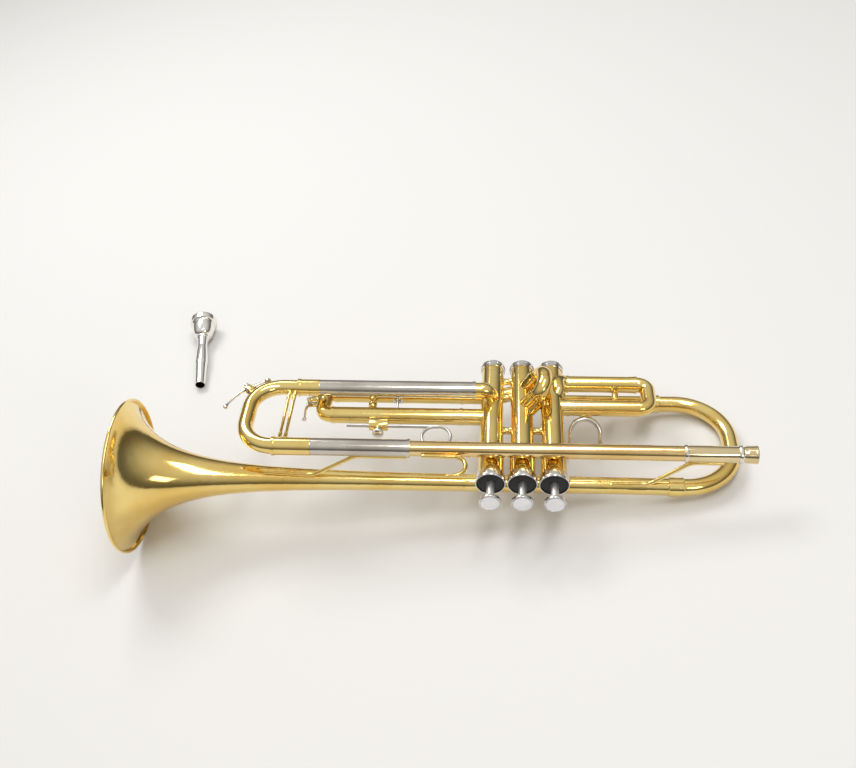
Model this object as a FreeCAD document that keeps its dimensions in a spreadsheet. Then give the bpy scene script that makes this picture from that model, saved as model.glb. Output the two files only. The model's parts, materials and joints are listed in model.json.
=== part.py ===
import FreeCAD, Part
import math
import os
import re

import Sketcher
from FreeCAD import Placement, Rotation, Vector

# A B-flat trumpet, lying on its left side, with its mouthpiece beside it.
# Everything is drawn in the instrument's own frame, in millimetres:
#   X runs from the bell (-X) to the mouthpiece end (+X),
#   Y runs from the finger buttons (-Y) to the bottom caps (+Y),
#   Z is the player's right, and valve 2 stands on the Y axis.
# LAY then turns every sub-part until the bell rim and the bell bow rest on one level,
# with the mouth of the receiver at the origin.

doc = FreeCAD.newDocument("trumpet")

SIZES = [
    # valves
    ("stroke", "16.5", "travel of a finger button"),
    ("piston_radius", "8.4", ""),
    ("piston_fit", "0.05", "radial clearance of a piston in its casing"),
    ("casing_wall", "0.75", ""),
    ("casing_up", "61.2", "from the second valve's centre to the upper end of a casing"),
    ("casing_down", "61.5", "and to its lower end"),
    ("head_step", "0.8", "extra radius of a casing's upper stretch"),
    ("head_length", "26.0", ""),
    ("cap_floor", "1.4", "thickness of a valve cap"),
    ("cap_skirt", "4.2", "how far a cap reaches over its casing"),
    ("cap_wall", "1.0", ""),
    ("cap_thread", "0.03", "clearance between a cap and its casing"),
    ("cap_spacing", "1.9", "between neighbouring top caps"),
    ("cap_edge", "0.6", "rounding of a cap's edges"),
    ("crown_edge", "1.6", "rounding of a top cap's crown"),
    ("bottom_cap_bore", "2.0", ""),
    ("bumper", "0.5", "a pressed piston's height above its bottom cap"),
    ("piston_top", "21.0", "upper end of the piston's ported part"),
    ("piston_recess", "3.0", ""),
    ("passage_radius", "4.7", "wind passages through a piston"),
    ("barrel_radius", "7.6", "spring barrel on top of the piston"),
    ("barrel_wall", "0.8", ""),
    ("barrel_gap", "0.3", "below the top cap at rest"),
    ("guide_thickness", "2.0", ""),
    ("guide_width", "3.6", ""),
    ("guide_gap", "0.4", ""),
    ("guide_bore", "2.0", ""),
    ("stem_radius", "3.0", ""),
    ("stem_gap", "0.1", "around the stem in its cap"),
    ("felt_radius", "9.2", ""),
    ("felt_thickness", "3.0", ""),
    ("button_radius", "8.2", ""),
    ("button_foot", "6.6", "radius of the button's underside"),
    ("button_height", "3.6", ""),
    ("button_edge", "0.5", ""),
    ("pearl_radius", "6.95", ""),
    ("pearl_depth", "1.6", ""),
    ("pearl_dome", "0.5", ""),
    ("rear_knuckle_z", "2.5", "offset of the rear knuckle from the valves' plane"),
    ("rear_knuckle_low", "39.3", "heights of its ends, on the first and the second valve"),
    ("rear_knuckle_high", "3.3", ""),
    ("front_knuckle_z", "-6.0", ""),
    ("front_knuckle_low", "42.0", "on the second and the third valve"),
    ("front_knuckle_high", "33.0", ""),
    ("post_radius", "3.6", ""),
    ("post_waist", "0.9", "how much a post is drawn in halfway"),
    ("post_foot", "0.8", "thickness of the flange that seats a turned post"),
    ("post_neck", "2.0", "where its waist begins"),
    ("post_top_y", "-10.0", "heights of the posts between the casings"),
    ("post_middle_y", "28.0", ""),
    ("post_low_y", "46.7", ""),
    # tubing
    ("bore_radius", "5.83", "clear bore of the tubing"),
    ("tube_wall", "0.37", ""),
    ("slide_fit", "0.05", "radial clearance of an inner slide tube"),
    ("sleeve_wall", "0.45", ""),
    ("ring_height", "0.5", "how far a ring stands proud of its tube"),
    ("ring_length", "2.2", ""),
    ("slide_gap", "0.3", "between a slide and its stop when home"),
    ("solder", "0.03", "solder film between fixed tubes"),
    ("crook_lap", "5.0", "how far a crook enters its outer tube"),
    ("past", "1.0", "how far a cutting tool runs past what it cuts"),
    ("cutter", "20.0", "half the length of one that only seats a piece on a tube"),
    # bell: stem + flare, as a share that falls off with the distance from the rim
    ("rim_x", "-311.3", "front of the bell's rim"),
    ("rim_radius", "61.5", ""),
    ("rim_bead", "1.3", "radius of the wire rolled into the rim"),
    ("rim_front", "0.6", "from the rim's front to the horn's edge"),
    ("rim_flat", "0.55", "half width of the flat on the rim's front"),
    ("bell_y", "-47.2", "bell axis"),
    ("bell_gap", "3.9", "between the bell's stem and the casings"),
    ("bell_wall", "0.6", ""),
    ("flare_reach", "170.0", ""),
    ("lip_share", "0.15", "share of the flare that turns out right at the rim"),
    ("lip_reach", "8.0", ""),
    ("bell_length", "429.0", "from the rim's front to the bow"),
    ("bow_run", "48.0", "from there to the bow's rear centreline"),
    ("bow_y", "44.4", "axis of the bow's lower branch"),
    ("bow_radius", "6.6", ""),
    ("bow_flat", "5.8", "half the straight stretch at the bow's rear"),
    ("bow_ring_length", "6.0", ""),
    ("branch_bend", "14.0", ""),
    ("branch_run", "14.0", "from the branch's bend to the bow's end"),
    ("branch_port_y", "33.0", ""),
    ("bow_joint_x", "108.0", "centre of the ferrule on the bow's lower branch"),
    # leadpipe and receiver
    ("lead_y", "-46.4", "leadpipe axis"),
    ("lead_gap", "0.3", "between the leadpipe and the casings"),
    ("lead_x", "-85.1", "rear end of the leadpipe's sleeve"),
    ("lead_plug", "5.0", "how far a fixed tube enters a sleeve"),
    ("lead_radius", "5.9", ""),
    ("throat_radius", "4.6", "the leadpipe's narrow end"),
    ("receiver_x", "119.9", "front end of the mouthpiece receiver"),
    ("receiver_length", "53.3", ""),
    ("receiver_radius", "6.9", ""),
    ("receiver_lip", "0.9", "how far its mouth stands proud"),
    ("receiver_band", "2.5", ""),
    ("receiver_band_back", "12.0", "front of the band, from the mouth"),
    ("receiver_flare", "7.0", "length of its flared mouth"),
    ("receiver_edge", "1.0", ""),
    ("receiver_bore", "5.55", "at the mouth, tapering one in twenty"),
    ("receiver_depth", "27.0", ""),
    ("receiver_lap", "20.0", "how far the leadpipe enters the receiver"),
    # main tuning slide
    ("main_y", "19.1", "axis of the leg that leads to the third valve"),
    ("main_bend", "24.0", ""),
    ("crook_lead", "0.7", "straight stretch between a bend and its ferrule"),
    ("main_stagger", "10.7", "how much further back the crook's other end lies"),
    ("lower_sleeve_x", "-160.9", "front ends of the two sleeves"),
    ("upper_sleeve_x", "-162.3", ""),
    ("main_ferrule", "30.1", ""),
    ("main_insert", "66.0", "length of an inner leg inside its sleeve"),
    ("ferrule_step", "0.2", "ferrule over the sleeve's radius"),
    ("brace_back", "31.4", "middle of its brace, behind the crook's front"),
    ("brace_spread", "2.2", "half the distance between the crook's two rods"),
    ("brace_rod", "1.3", ""),
    ("brace_flange", "1.7", ""),
    ("inlet_offset", "1.2", "the elbow enters the third valve ahead of its axis"),
    ("inlet_run", "13.3", "from the third valve's axis to the sleeve's end"),
    ("inlet_bend", "7.2", ""),
    # third slide: lengths from its valve's axis
    ("third_upper_y", "29.0", ""),
    ("third_lower_y", "4.6", ""),
    ("third_stub", "25.6", ""),
    ("third_reach", "126.4", "front end of the outer tubes"),
    ("third_collar", "3.0", ""),
    ("third_bend", "6.8", ""),
    ("third_post_back", "29.4", "behind the front end of the outer tubes"),
    ("third_stay_back", "49.6", ""),
    # first slide
    ("first_upper_y", "45.3", ""),
    ("first_lower_y", "17.4", ""),
    ("first_stub", "14.3", ""),
    ("first_upper_reach", "62.9", "rear ends of the outer tubes"),
    ("first_lower_reach", "67.4", ""),
    ("first_collar", "2.0", ""),
    ("first_bend", "7.8", ""),
    ("first_post_back", "16.0", "ahead of the lower tube's rear end"),
    # second slide, square to the valves and turned towards the mouthpiece
    ("second_angle", "35.0", "from the Z axis, in degrees"),
    ("second_upper_y", "34.8", ""),
    ("second_lower_y", "13.7", ""),
    ("second_reach", "19.5", "end of the fixed tubes, from the valve's axis"),
    ("second_collar", "1.5", ""),
    ("second_bend", "8.0", ""),
    ("second_insert", "9.2", ""),
    # braces and hook
    ("rod_radius", "1.6", ""),
    ("brace_lean", "9.6", "degrees, from the Z axis"),
    ("front_brace_foot", "-200.0", "front end of its foot on the bell"),
    ("front_brace_heel", "-162.0", "where it leaves the bell"),
    ("front_brace_knee", "-128.0", "where it meets the leadpipe"),
    ("front_brace_end", "-88.0", ""),
    ("rear_brace_foot", "68.0", ""),
    ("rear_brace_heel", "96.0", ""),
    ("rear_brace_knee", "126.0", ""),
    ("rear_brace_end", "150.0", ""),
    ("brace_bend", "15.0", ""),
    ("hook_x", "-40.0", ""),
    ("hook_foot", "35.0", "length soldered to the leadpipe"),
    ("hook_height", "18.0", ""),
    ("hook_reach", "18.0", ""),
    ("hook_bend", "8.5", ""),
    ("hook_rod", "1.8", ""),
    # thumb saddle and finger ring
    ("saddle_lead", "25.5", "behind the first valve's axis"),
    ("saddle_width", "22.8", ""),
    ("saddle_depth", "25.0", ""),
    ("saddle_flat", "0.4", "half the straight stretch at its foot"),
    ("saddle_tilt", "47.0", "lean of the saddle to the player's left, in degrees"),
    ("saddle_rod", "1.75", ""),
    ("saddle_gap", "0.6", "between the saddle's rod and the tube"),
    ("saddle_foot", "11.0", ""),
    ("ring_rod_radius", "1.75", ""),
    ("ring_rod_gap", "0.05", ""),
    ("ring_rod_y", "-6.6", ""),
    ("ring_rod_length", "73.5", ""),
    ("ring_lead", "46.5", "the ring's centre, behind its clamp"),
    ("finger_ring_radius", "11.4", ""),
    ("finger_ring_wire", "1.3", ""),
    ("clamp_back", "36.4", "behind the front end of the outer tubes"),
    ("clamp_length", "15.0", ""),
    ("clamp_width", "8.0", ""),
    ("clamp_wall", "2.45", "metal around the ring's rod"),
    ("screw_radius", "1.25", ""),
    ("screw_head", "4.9", ""),
    ("screw_head_height", "2.2", ""),
    ("screw_edge", "0.4", ""),
    # water keys
    ("key_arm", "1.0", "radius of a key's arms"),
    ("key_hub", "2.0", ""),
    ("key_width", "5.0", ""),
    ("key_pin", "0.8", ""),
    ("key_fit", "0.08", ""),
    ("key_ear", "1.1", ""),
    ("key_cup", "2.9", ""),
    ("key_cup_side", "1.2", "height of its straight side"),
    ("key_cup_dome", "0.8", ""),
    ("main_key_height", "7.6", "pivot above the crook"),
    ("third_key_height", "6.6", ""),
    ("cork_height", "1.4", ""),
    ("nipple_radius", "1.9", ""),
    ("nipple_height", "2.0", ""),
    ("drain_radius", "0.9", ""),
    ("key_tip", "1.7", ""),
    # mouthpiece
    ("mouthpiece_length", "89.0", ""),
    ("mouthpiece_rim", "13.3", "outer radius of the rim"),
    ("cup_radius", "8.2", "inner radius of the rim"),
    ("cup_depth", "19.0", ""),
    ("shank_radius", "4.95", "at its end"),
    ("mouthpiece_throat", "1.9", ""),
    ("rim_land", "3.2", "from the rim's face to its widest circle"),
    ("mouthpiece_x", "-317.0", "where the loose mouthpiece lies, halfway along"),
    ("mouthpiece_y", "162.0", ""),
    ("mouthpiece_heading", "8.7", "degrees"),
]

# sizes that follow from the ones above
DERIVED = {
    "casing_bore": "piston_radius + piston_fit",
    "casing_radius": "casing_bore + casing_wall",
    "head_radius": "casing_radius + head_step",
    "top_cap_radius": "head_radius + cap_thread + cap_wall",
    "bottom_cap_radius": "casing_radius + cap_thread + cap_wall",
    "valve_pitch": "2 * top_cap_radius + cap_spacing",
    "piston_bottom": "casing_down - bumper - stroke",
    "barrel_top": "casing_up - barrel_gap",
    "cap_face": "casing_up + cap_floor",
    "button_low": "cap_face + felt_thickness + stroke",
    "button_top": "button_low + button_height",
    "tube_radius": "bore_radius + tube_wall",
    "sleeve_bore": "tube_radius + slide_fit",
    "sleeve_radius": "sleeve_bore + sleeve_wall",
    "plug_radius": "sleeve_bore - solder",
    "ferrule_radius": "sleeve_radius + ferrule_step",
    "ferrule_bore": "tube_radius + solder",
    "bell_z": "-(head_radius + bell_gap + bow_radius)",
    "bell_end": "rim_x + bell_length",
    "bow_x": "bell_end + bow_run",
    "bow_bend": "(bow_y - bell_y) / 2 - bow_flat",
    "branch_end": "valve_pitch + branch_bend + branch_run",
    "lead_z": "head_radius + lead_gap + lead_radius",
    "receiver_end": "receiver_x + receiver_length",
    "lower_ring_x": "lower_sleeve_x - slide_gap - main_ferrule",
    "upper_ring_x": "lower_ring_x + main_stagger",
    "main_front": "lower_ring_x - crook_lead - main_bend",
    "brace_x": "main_front + brace_back",
    "inlet_x": "-valve_pitch - inlet_offset",
    "upper_sleeve_end": "-valve_pitch - inlet_run",
    "third_end": "-valve_pitch - third_reach",
    "third_post_x": "third_end + third_post_back",
    "third_stay_x": "third_end + third_stay_back",
    "clamp_x": "third_end + clamp_back",
    "ring_x": "clamp_x + ring_lead",
    "third_front": "third_end - third_collar - crook_lead - third_bend",
    "first_upper_end": "valve_pitch + first_upper_reach",
    "first_lower_end": "valve_pitch + first_lower_reach",
    "first_post_x": "first_lower_end - first_post_back",
    "saddle_x": "valve_pitch + saddle_lead",
    "first_far": "max(first_upper_reach; first_lower_reach) + first_collar",
    "first_rear": "valve_pitch + first_far + crook_lead + first_bend",
    "second_front": "second_reach + slide_gap + second_collar + crook_lead + second_bend",
}

sheet = doc.addObject("Spreadsheet::Sheet", "sizes")
for row, (name, value, note) in enumerate(SIZES, 1):
    sheet.set(f"A{row}", name)
    sheet.set(f"B{row}", value)
    sheet.set(f"C{row}", note)
    sheet.setAlias(f"B{row}", name)
doc.recompute()
NAMES = {name for name, value, note in SIZES}
WORD = re.compile(r"[a-z_][a-z_0-9]*")


def spelled(expression, prefix=""):
    """The expression with derived sizes written out, down to names of the sheet."""
    def swap(match):
        word = match.group()
        if word in DERIVED:
            return f"({spelled(DERIVED[word], prefix)})"
        return prefix + word if word in NAMES else word
    return WORD.sub(swap, str(expression))


def size(expression):
    """The number that an expression of sizes stands for."""
    return float(sheet.evalExpression(spelled(expression)))


def bound(expression):
    """The same expression as an object outside the sheet has to write it."""
    return spelled(expression, "sizes.")


def point(x, y, z):
    return Vector(size(x), size(y), size(z))


def along(direction):
    """The turn that takes the local Z axis to a direction."""
    return Rotation(Vector(0, 0, 1), Vector(*direction))


REAR = (1, 0, 0)
FRONT = (-1, 0, 0)
DOWN = (0, 1, 0)
UP = (0, -1, 0)
RIGHT = (0, 0, 1)


def new_sketch(body, label, role):
    sketch = body.newObject("Sketcher::SketchObject", label)
    plane = next(f for f in body.Origin.OriginFeatures if f.Role == role)
    sketch.AttachmentSupport = (plane, [""])
    sketch.MapMode = "FlatFace"
    return sketch


def bind(sketch, kind, *where, to):
    """Add one dimension whose value follows the sheet."""
    index = sketch.addConstraint(Sketcher.Constraint(kind, *where, size(to)))
    sketch.setExpression(f"Constraints[{index}]", bound(to))


def arc_through(start, middle, end):
    """The arc through three points, drawn anticlockwise, and whether it then runs from start to end."""
    circle = Part.Arc(start, middle, end).toShape().Curve
    forward = (middle - start).cross(end - middle).z > 0
    first, last = (start, end) if forward else (end, start)
    low, high = (math.atan2(p.y - circle.Center.y, p.x - circle.Center.x) for p in (first, last))
    if high < low:
        high += 2 * math.pi
    return Part.ArcOfCircle(Part.Circle(circle.Center, Vector(0, 0, 1), circle.Radius), low, high), forward


def turned(label, outline, base=(0, 0, 0), direction=RIGHT):
    """A turned piece: outline is (along, radius) corners in order.

    A third entry bows the edge that arrives at the corner: out of the metal, or into it if negative.
    """
    body = doc.addObject("PartDesign::Body", label)
    sketch = new_sketch(body, label + "_outline", "XZ_Plane")
    corners = [Vector(size(c[1]), size(c[0]), 0) for c in outline]
    count = len(corners)
    area = sum(p.x * q.y - q.x * p.y for p, q in zip(corners, corners[1:] + corners[:1]))
    starts = []
    ends = []
    for i, corner in enumerate(corners):
        arrival = outline[(i + 1) % count]
        end = corners[(i + 1) % count]
        edge, forward = Part.LineSegment(corner, end), True
        if len(arrival) == 3:
            run = (end - corner).normalize()
            outward = Vector(run.y, -run.x, 0) * math.copysign(size(arrival[2]), size(arrival[2]) * area)
            edge, forward = arc_through(corner, (corner + end) * 0.5 + outward, end)
        sketch.addGeometry(edge, False)
        starts.append(1 if forward else 2)
        ends.append(2 if forward else 1)
    for i in range(count):
        after = (i + 1) % count
        sketch.addConstraint(Sketcher.Constraint("Coincident", i, ends[i], after, starts[after]))
    for i, (along_axis, radius, *bulge) in enumerate(outline):
        bind(sketch, "DistanceX", -1, 1, i, starts[i], to=radius)
        bind(sketch, "DistanceY", -1, 1, i, starts[i], to=along_axis)
        if bulge:
            back = outline[i - 1]
            chord = f"(({along_axis}) - ({back[0]})) ^ 2 + (({radius}) - ({back[1]})) ^ 2"
            rise = f"abs({bulge[0]})"
            bind(sketch, "Radius", (i - 1) % count, to=f"({chord}) / (8 * {rise}) + {rise} / 2")
    turn = body.newObject("PartDesign::Revolution", label + "_turn")
    turn.Profile = sketch
    turn.ReferenceAxis = (sketch, ["V_Axis"])
    turn.Angle = 360
    body.Placement = Placement(point(*base), along(direction))
    return body


def dome(radius, height):
    """The bow of an edge that closes a sphere over a circle, ending on the axis."""
    sphere = f"((({radius}) ^ 2 + ({height}) ^ 2) / (2 * ({height})))"
    return f"{sphere} - sqrt({sphere} ^ 2 - (({radius}) ^ 2 + ({height}) ^ 2) / 4)"


def tube(label, start, end, outer, bore, base, direction, rings=()):
    """A straight tube with raised rings, each given as (start, height) along it."""
    outline = [(start, bore), (start, outer)]
    for ring, height in rings:
        outline += [(ring, outer), (ring, f"{outer} + {height}")]
        outline += [(f"{ring} + ring_length", f"{outer} + {height}"), (f"{ring} + ring_length", outer)]
    outline += [(end, outer), (end, bore)]
    spots = [Vector(size(c[0]), size(c[1]), 0) for c in outline]
    apart = [i for i, spot in enumerate(spots) if spot.distanceToPoint(spots[i - 1]) > 1e-6]
    return turned(label, [outline[i] for i in apart], base, direction)


def pipe(label, corners, bend, outer, bore, base=(0, 0, 0), turn=Rotation()):
    """A bent tube or rod: straight runs in the local XY plane, joined by arcs, each with its radius."""
    body = doc.addObject("PartDesign::Body", label)
    path = new_sketch(body, label + "_path", "XY_Plane")
    spots = [Vector(size(x), size(y), 0) for x, y in corners]
    bends = [bend] * (len(spots) - 2) if isinstance(bend, str) else bend
    start = spots[0]
    ways = []
    for before, spot, after, arc_radius in zip(spots, spots[1:], spots[2:], bends):
        radius = size(arc_radius)
        back = (before - spot).normalize()
        on = (after - spot).normalize()
        half = math.acos(back.dot(on)) / 2
        centre = spot + (back + on).normalize() * (radius / math.sin(half))
        middle = centre + (spot - centre).normalize() * radius
        leave = spot + back * (radius / math.tan(half))
        join = spot + on * (radius / math.tan(half))
        arc, forward = arc_through(leave, middle, join)
        path.addGeometry(Part.LineSegment(start, leave), False)
        path.addGeometry(arc, False)
        ways.append(forward)
        start = join
    path.addGeometry(Part.LineSegment(start, spots[-1]), False)
    last = 2 * len(spots) - 4
    bind(path, "DistanceX", -1, 1, 0, 1, to=corners[0][0])
    bind(path, "DistanceY", -1, 1, 0, 1, to=corners[0][1])
    bind(path, "DistanceX", -1, 1, last, 2, to=corners[-1][0])
    bind(path, "DistanceY", -1, 1, last, 2, to=corners[-1][1])
    for i in range(1, len(spots) - 1):
        arrive, arc, depart = 2 * i - 2, 2 * i - 1, 2 * i
        corner = path.addGeometry(Part.Point(spots[i]), True)
        bind(path, "DistanceX", -1, 1, corner, 1, to=corners[i][0])
        bind(path, "DistanceY", -1, 1, corner, 1, to=corners[i][1])
        path.addConstraint(Sketcher.Constraint("PointOnObject", corner, 1, arrive))
        path.addConstraint(Sketcher.Constraint("PointOnObject", corner, 1, depart))
        near, far = (1, 2) if ways[i - 1] else (2, 1)
        path.addConstraint(Sketcher.Constraint("Tangent", arrive, 2, arc, near))
        path.addConstraint(Sketcher.Constraint("Tangent", depart, 1, arc, far))
        bind(path, "Radius", arc, to=bends[i - 1])
    section = body.newObject("Sketcher::SketchObject", label + "_section")
    section.AttachmentSupport = [(path, "Edge1")]
    section.MapMode = "NormalToEdge"
    for edge in (outer, bore) if bore else (outer,):
        circle = section.addGeometry(Part.Circle(Vector(), Vector(0, 0, 1), size(edge)), False)
        section.addConstraint(Sketcher.Constraint("Coincident", circle, 3, -1, 1))
        bind(section, "Radius", circle, to=edge)
    sweep = body.newObject("PartDesign::AdditivePipe", label + "_sweep")
    sweep.Profile = section
    sweep.Spine = (path, [f"Edge{i + 1}" for i in range(last + 1)])
    body.Placement = Placement(point(*base), turn)
    return body


def rod(label, radius, start, end, base=(0, 0, 0), direction=RIGHT):
    """A plain cylinder, from start to end along its direction."""
    cylinder = doc.addObject("Part::Cylinder", label)
    cylinder.setExpression("Radius", bound(radius))
    cylinder.setExpression("Height", bound(f"{end} - ({start})"))
    turn = along(direction)
    cylinder.Placement = Placement(point(*base) + turn.multVec(Vector(0, 0, size(start))), turn)
    return cylinder


def without(label, piece, *tools):
    """The piece, cut by the tools."""
    tool = tools[0]
    if len(tools) > 1:
        tool = doc.addObject("Part::MultiFuse", label + "_cutters")
        tool.Shapes = list(tools)
    cut = doc.addObject("Part::Cut", label)
    cut.Base = piece
    cut.Tool = tool
    return cut


def fused(label, *pieces):
    joined = doc.addObject("Part::MultiFuse", label)
    joined.Shapes = list(pieces)
    return joined


parts = []


def sub_part(label, *pieces):
    """One node: its solids, gathered under the label that names its file."""
    group = doc.addObject("Part::Compound", label)
    group.Label = label
    group.Links = list(pieces)
    group.Placement = LAY
    parts.append(group)


# the turn and shift that lay the instrument down
rise = size("rim_radius")
reach = size("bow_x - rim_x")
pitch = math.atan2(rise, reach) - math.asin(size("bow_radius") / math.hypot(rise, reach))
TILT = Rotation(Vector(0, 1, 0), math.degrees(pitch))
LAY = Placement(Vector(), TILT) * Placement(point("-receiver_end", "-lead_y", "-lead_z"), Rotation())

SECOND = (math.sin(math.radians(size("second_angle"))), 0, math.cos(math.radians(size("second_angle"))))


def valve_x(number):
    """Valve 1 is nearest the player."""
    return f"(2 - {number}) * valve_pitch"


def casing_space(number, label):
    """What a casing takes up, to trim the tubes that end on it."""
    return rod(f"{label}_trim_{number}", "casing_radius + solder", "-casing_up", "casing_down",
               (valve_x(number), 0, 0), DOWN)


def flare(distance):
    """How much of the bell's flare is left at a distance behind the rim."""
    main = f"(1 - lip_share) * (flare_reach / (flare_reach + {distance})) ^ 5"
    lip = f"lip_share * (lip_reach / (lip_reach + {distance})) ^ 2"
    return f"({main} + {lip})"


def horn(x):
    """The bell's outer radius at a place along its axis."""
    here = flare(f"(({x}) - rim_x - rim_front)")
    last = flare("(bell_length - rim_front)")
    return f"(bow_radius + (rim_radius - rim_bead - bow_radius) * ({here} - {last}) / (1 - {last}))"


def bell():
    """A horn of sheet brass with a wire rolled into its rim."""
    body = doc.addObject("PartDesign::Body", "bell_horn")
    sketch = new_sketch(body, "bell_outline", "XZ_Plane")
    length = size("bell_length - rim_front")
    wall = size("bell_wall")
    steps = 12
    outer = []
    inner = []
    for i in range(steps + 1):
        x = length * (i / steps) ** 2.4
        radius = size(horn(f"rim_x + rim_front + {x}"))
        slope = (size(horn(f"rim_x + rim_front + {x + 0.01}")) - radius) / 0.01
        lean = math.hypot(1, slope)
        outer.append(Vector(radius, x, 0))
        inner.append(Vector(radius - wall / lean, x + wall * slope / lean, 0))
    inner[-1].y = length
    for edge in (outer, inner):
        curve = Part.BSplineCurve()
        curve.interpolate(edge)
        sketch.addGeometry(curve, False)
    sketch.addGeometry(Part.LineSegment(outer[0], inner[0]), False)
    sketch.addGeometry(Part.LineSegment(outer[-1], inner[-1]), False)
    for i in range(4):
        sketch.addConstraint(Sketcher.Constraint("Block", i))
    turn = body.newObject("PartDesign::Revolution", "bell_turn")
    turn.Profile = sketch
    turn.ReferenceAxis = (sketch, ["V_Axis"])
    turn.Angle = 360
    body.Placement = Placement(point("rim_x + rim_front", "bell_y", "bell_z"), along(REAR))
    middle = "rim_radius - rim_bead"
    bead = turned("bell_bead", [
        (0, f"{middle} - rim_flat"), (0, f"{middle} + rim_flat"),
        ("rim_bead", "rim_radius", "rim_bead * 0.2"),
        ("2 * rim_bead", f"{middle} + rim_flat", "rim_bead * 0.2"),
        ("2 * rim_bead", f"{middle} - rim_flat"),
    ], ("rim_x", "bell_y", "bell_z"), REAR)
    sub_part("bell", fused("bell_and_bead", body, bead))


def bell_bow():
    """The bow behind the bell, and its lower branch that turns in to the first valve from the left."""
    bow = pipe("bow_pipe", [
        ("bell_end", "bell_y"), ("bow_x", "bell_y"), ("bow_x", "bow_y"), ("branch_end", "bow_y"),
    ], "bow_bend", "bow_radius", "bow_radius - tube_wall", (0, 0, "bell_z"))
    sub_part("bell_bow", bow)
    ferrules = []
    for branch, x, y in (("upper", "bell_end", "bell_y"), ("lower", "bow_joint_x", "bow_y")):
        ferrules.append(turned(f"bow_ferrule_{branch}", [
            ("-bow_ring_length", "bow_radius + solder"), ("-bow_ring_length", "bow_radius + ring_height"),
            ("-bow_ring_length + ring_height", "bow_radius + 2 * ring_height"),
            ("bow_ring_length - ring_height", "bow_radius + 2 * ring_height"),
            ("bow_ring_length", "bow_radius + ring_height"),
            ("bow_ring_length", "bow_radius + solder"),
        ], (x, y, "bell_z"), REAR))
    sub_part("bow_ferrules", *ferrules)
    lean = math.degrees(math.atan2(-size("bell_z"), size("branch_port_y - bow_y")))
    branch = pipe("branch_pipe", [
        ("branch_end", 0), ("valve_pitch", 0), ("valve_pitch", "sqrt((bow_y - branch_port_y) ^ 2 + bell_z ^ 2)"),
    ], "branch_bend", "bow_radius", "bow_radius - tube_wall", (0, "bow_y", "bell_z"),
        Rotation(Vector(1, 0, 0), lean))
    sub_part("bell_branch", without("branch_trimmed", branch, casing_space(1, "branch")))


def leadpipe():
    """Cylindrical outside, tapering inside towards the mouthpiece."""
    taper_end = "receiver_x + receiver_lap"
    body = turned("leadpipe_tube", [
        ("lead_x - lead_plug", "lead_radius - tube_wall"), ("lead_x - lead_plug", "plug_radius"),
        ("lead_x", "plug_radius"), ("lead_x", "lead_radius"),
        (taper_end, "lead_radius"), (taper_end, "throat_radius"),
    ], (0, "lead_y", "lead_z"), REAR)
    sub_part("leadpipe", body)
    inside = "receiver_length - receiver_depth"
    receiver = turned("receiver_body", [
        (0, "lead_radius + solder"), (0, "receiver_radius + ring_height"),
        ("ring_length", "receiver_radius + ring_height"), ("ring_length", "receiver_radius"),
        ("receiver_length - receiver_band_back", "receiver_radius"),
        ("receiver_length - receiver_band_back", "receiver_radius + receiver_lip"),
        ("receiver_length - receiver_band_back + receiver_band", "receiver_radius + receiver_lip"),
        ("receiver_length - receiver_band_back + receiver_band", "receiver_radius"),
        ("receiver_length - receiver_flare", "receiver_radius"),
        ("receiver_length - receiver_edge", "receiver_radius + receiver_lip", "-0.25"),
        ("receiver_length", "receiver_radius + receiver_lip / 2", "0.2"),
        ("receiver_length", "receiver_bore"), (inside, "receiver_bore - receiver_depth / 40"),
        (inside, "throat_radius"), ("receiver_lap + solder", "throat_radius"),
        ("receiver_lap + solder", "lead_radius + solder"),
    ], ("receiver_x", "lead_y", "lead_z"), REAR)
    sub_part("mouthpiece_receiver", receiver)


def main_sleeves():
    """Two nickel sleeves that the main tuning slide runs in, and the elbow to the third valve."""
    lower = tube("lower_sleeve", "lower_sleeve_x", "lead_x", "sleeve_radius", "sleeve_bore",
                 (0, "lead_y", "lead_z"), REAR, [("lead_x - ring_length", "ring_height")])
    sub_part("leadpipe_sleeve", lower)
    upper = tube("upper_sleeve", "upper_sleeve_x", "upper_sleeve_end", "sleeve_radius", "sleeve_bore",
                 (0, "main_y", "lead_z"), REAR, [("upper_sleeve_end - ring_length", "ring_height")])
    sub_part("valve_sleeve", upper)
    elbow = pipe("elbow_pipe", [
        ("upper_sleeve_end - lead_plug", "lead_z"), ("inlet_x", "lead_z"), ("inlet_x", 0),
    ], "inlet_bend", "plug_radius", "bore_radius", (0, "main_y", 0), Rotation(Vector(1, 0, 0), 90))
    sub_part("inlet_elbow", without("elbow_trimmed", elbow, casing_space(3, "elbow")))


def main_crook():
    """The crook's route; its upper end lies further back than its lower one."""
    return [("lower_ring_x", "lead_y"), ("main_front", "lead_y"), ("main_front", "main_y"),
            ("upper_ring_x", "main_y")]


def third_crook():
    end = "third_end + crook_lap"
    return [(end, "third_upper_y"), ("third_front", "third_upper_y"), ("third_front", "third_lower_y"),
            (end, "third_lower_y")]


def seated_post(label, x, z, low, high, foot, waist, belly):
    """A turned post between two tubes along X, hollowed to sit on both: low and high are (y, radius)."""
    start = f"({low[0]}) + ({low[1]}) - past"
    end = f"({high[0]}) - ({high[1]}) + past"
    post = turned(label + "_post", [
        (start, 0), (start, foot), (f"{start} + past + post_foot", foot),
        (f"{start} + past + post_neck", waist), (f"{end} - past - post_neck", waist, belly),
        (f"{end} - past - post_foot", foot), (end, foot), (end, 0),
    ], (x, 0, z), DOWN)
    seats = [
        rod(f"{label}_seat_{name}", f"({radius}) + solder", "-cutter", "cutter", (x, y, z), REAR)
        for name, (y, radius) in (("low", low), ("high", high))
    ]
    return without(label, post, *seats)


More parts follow.
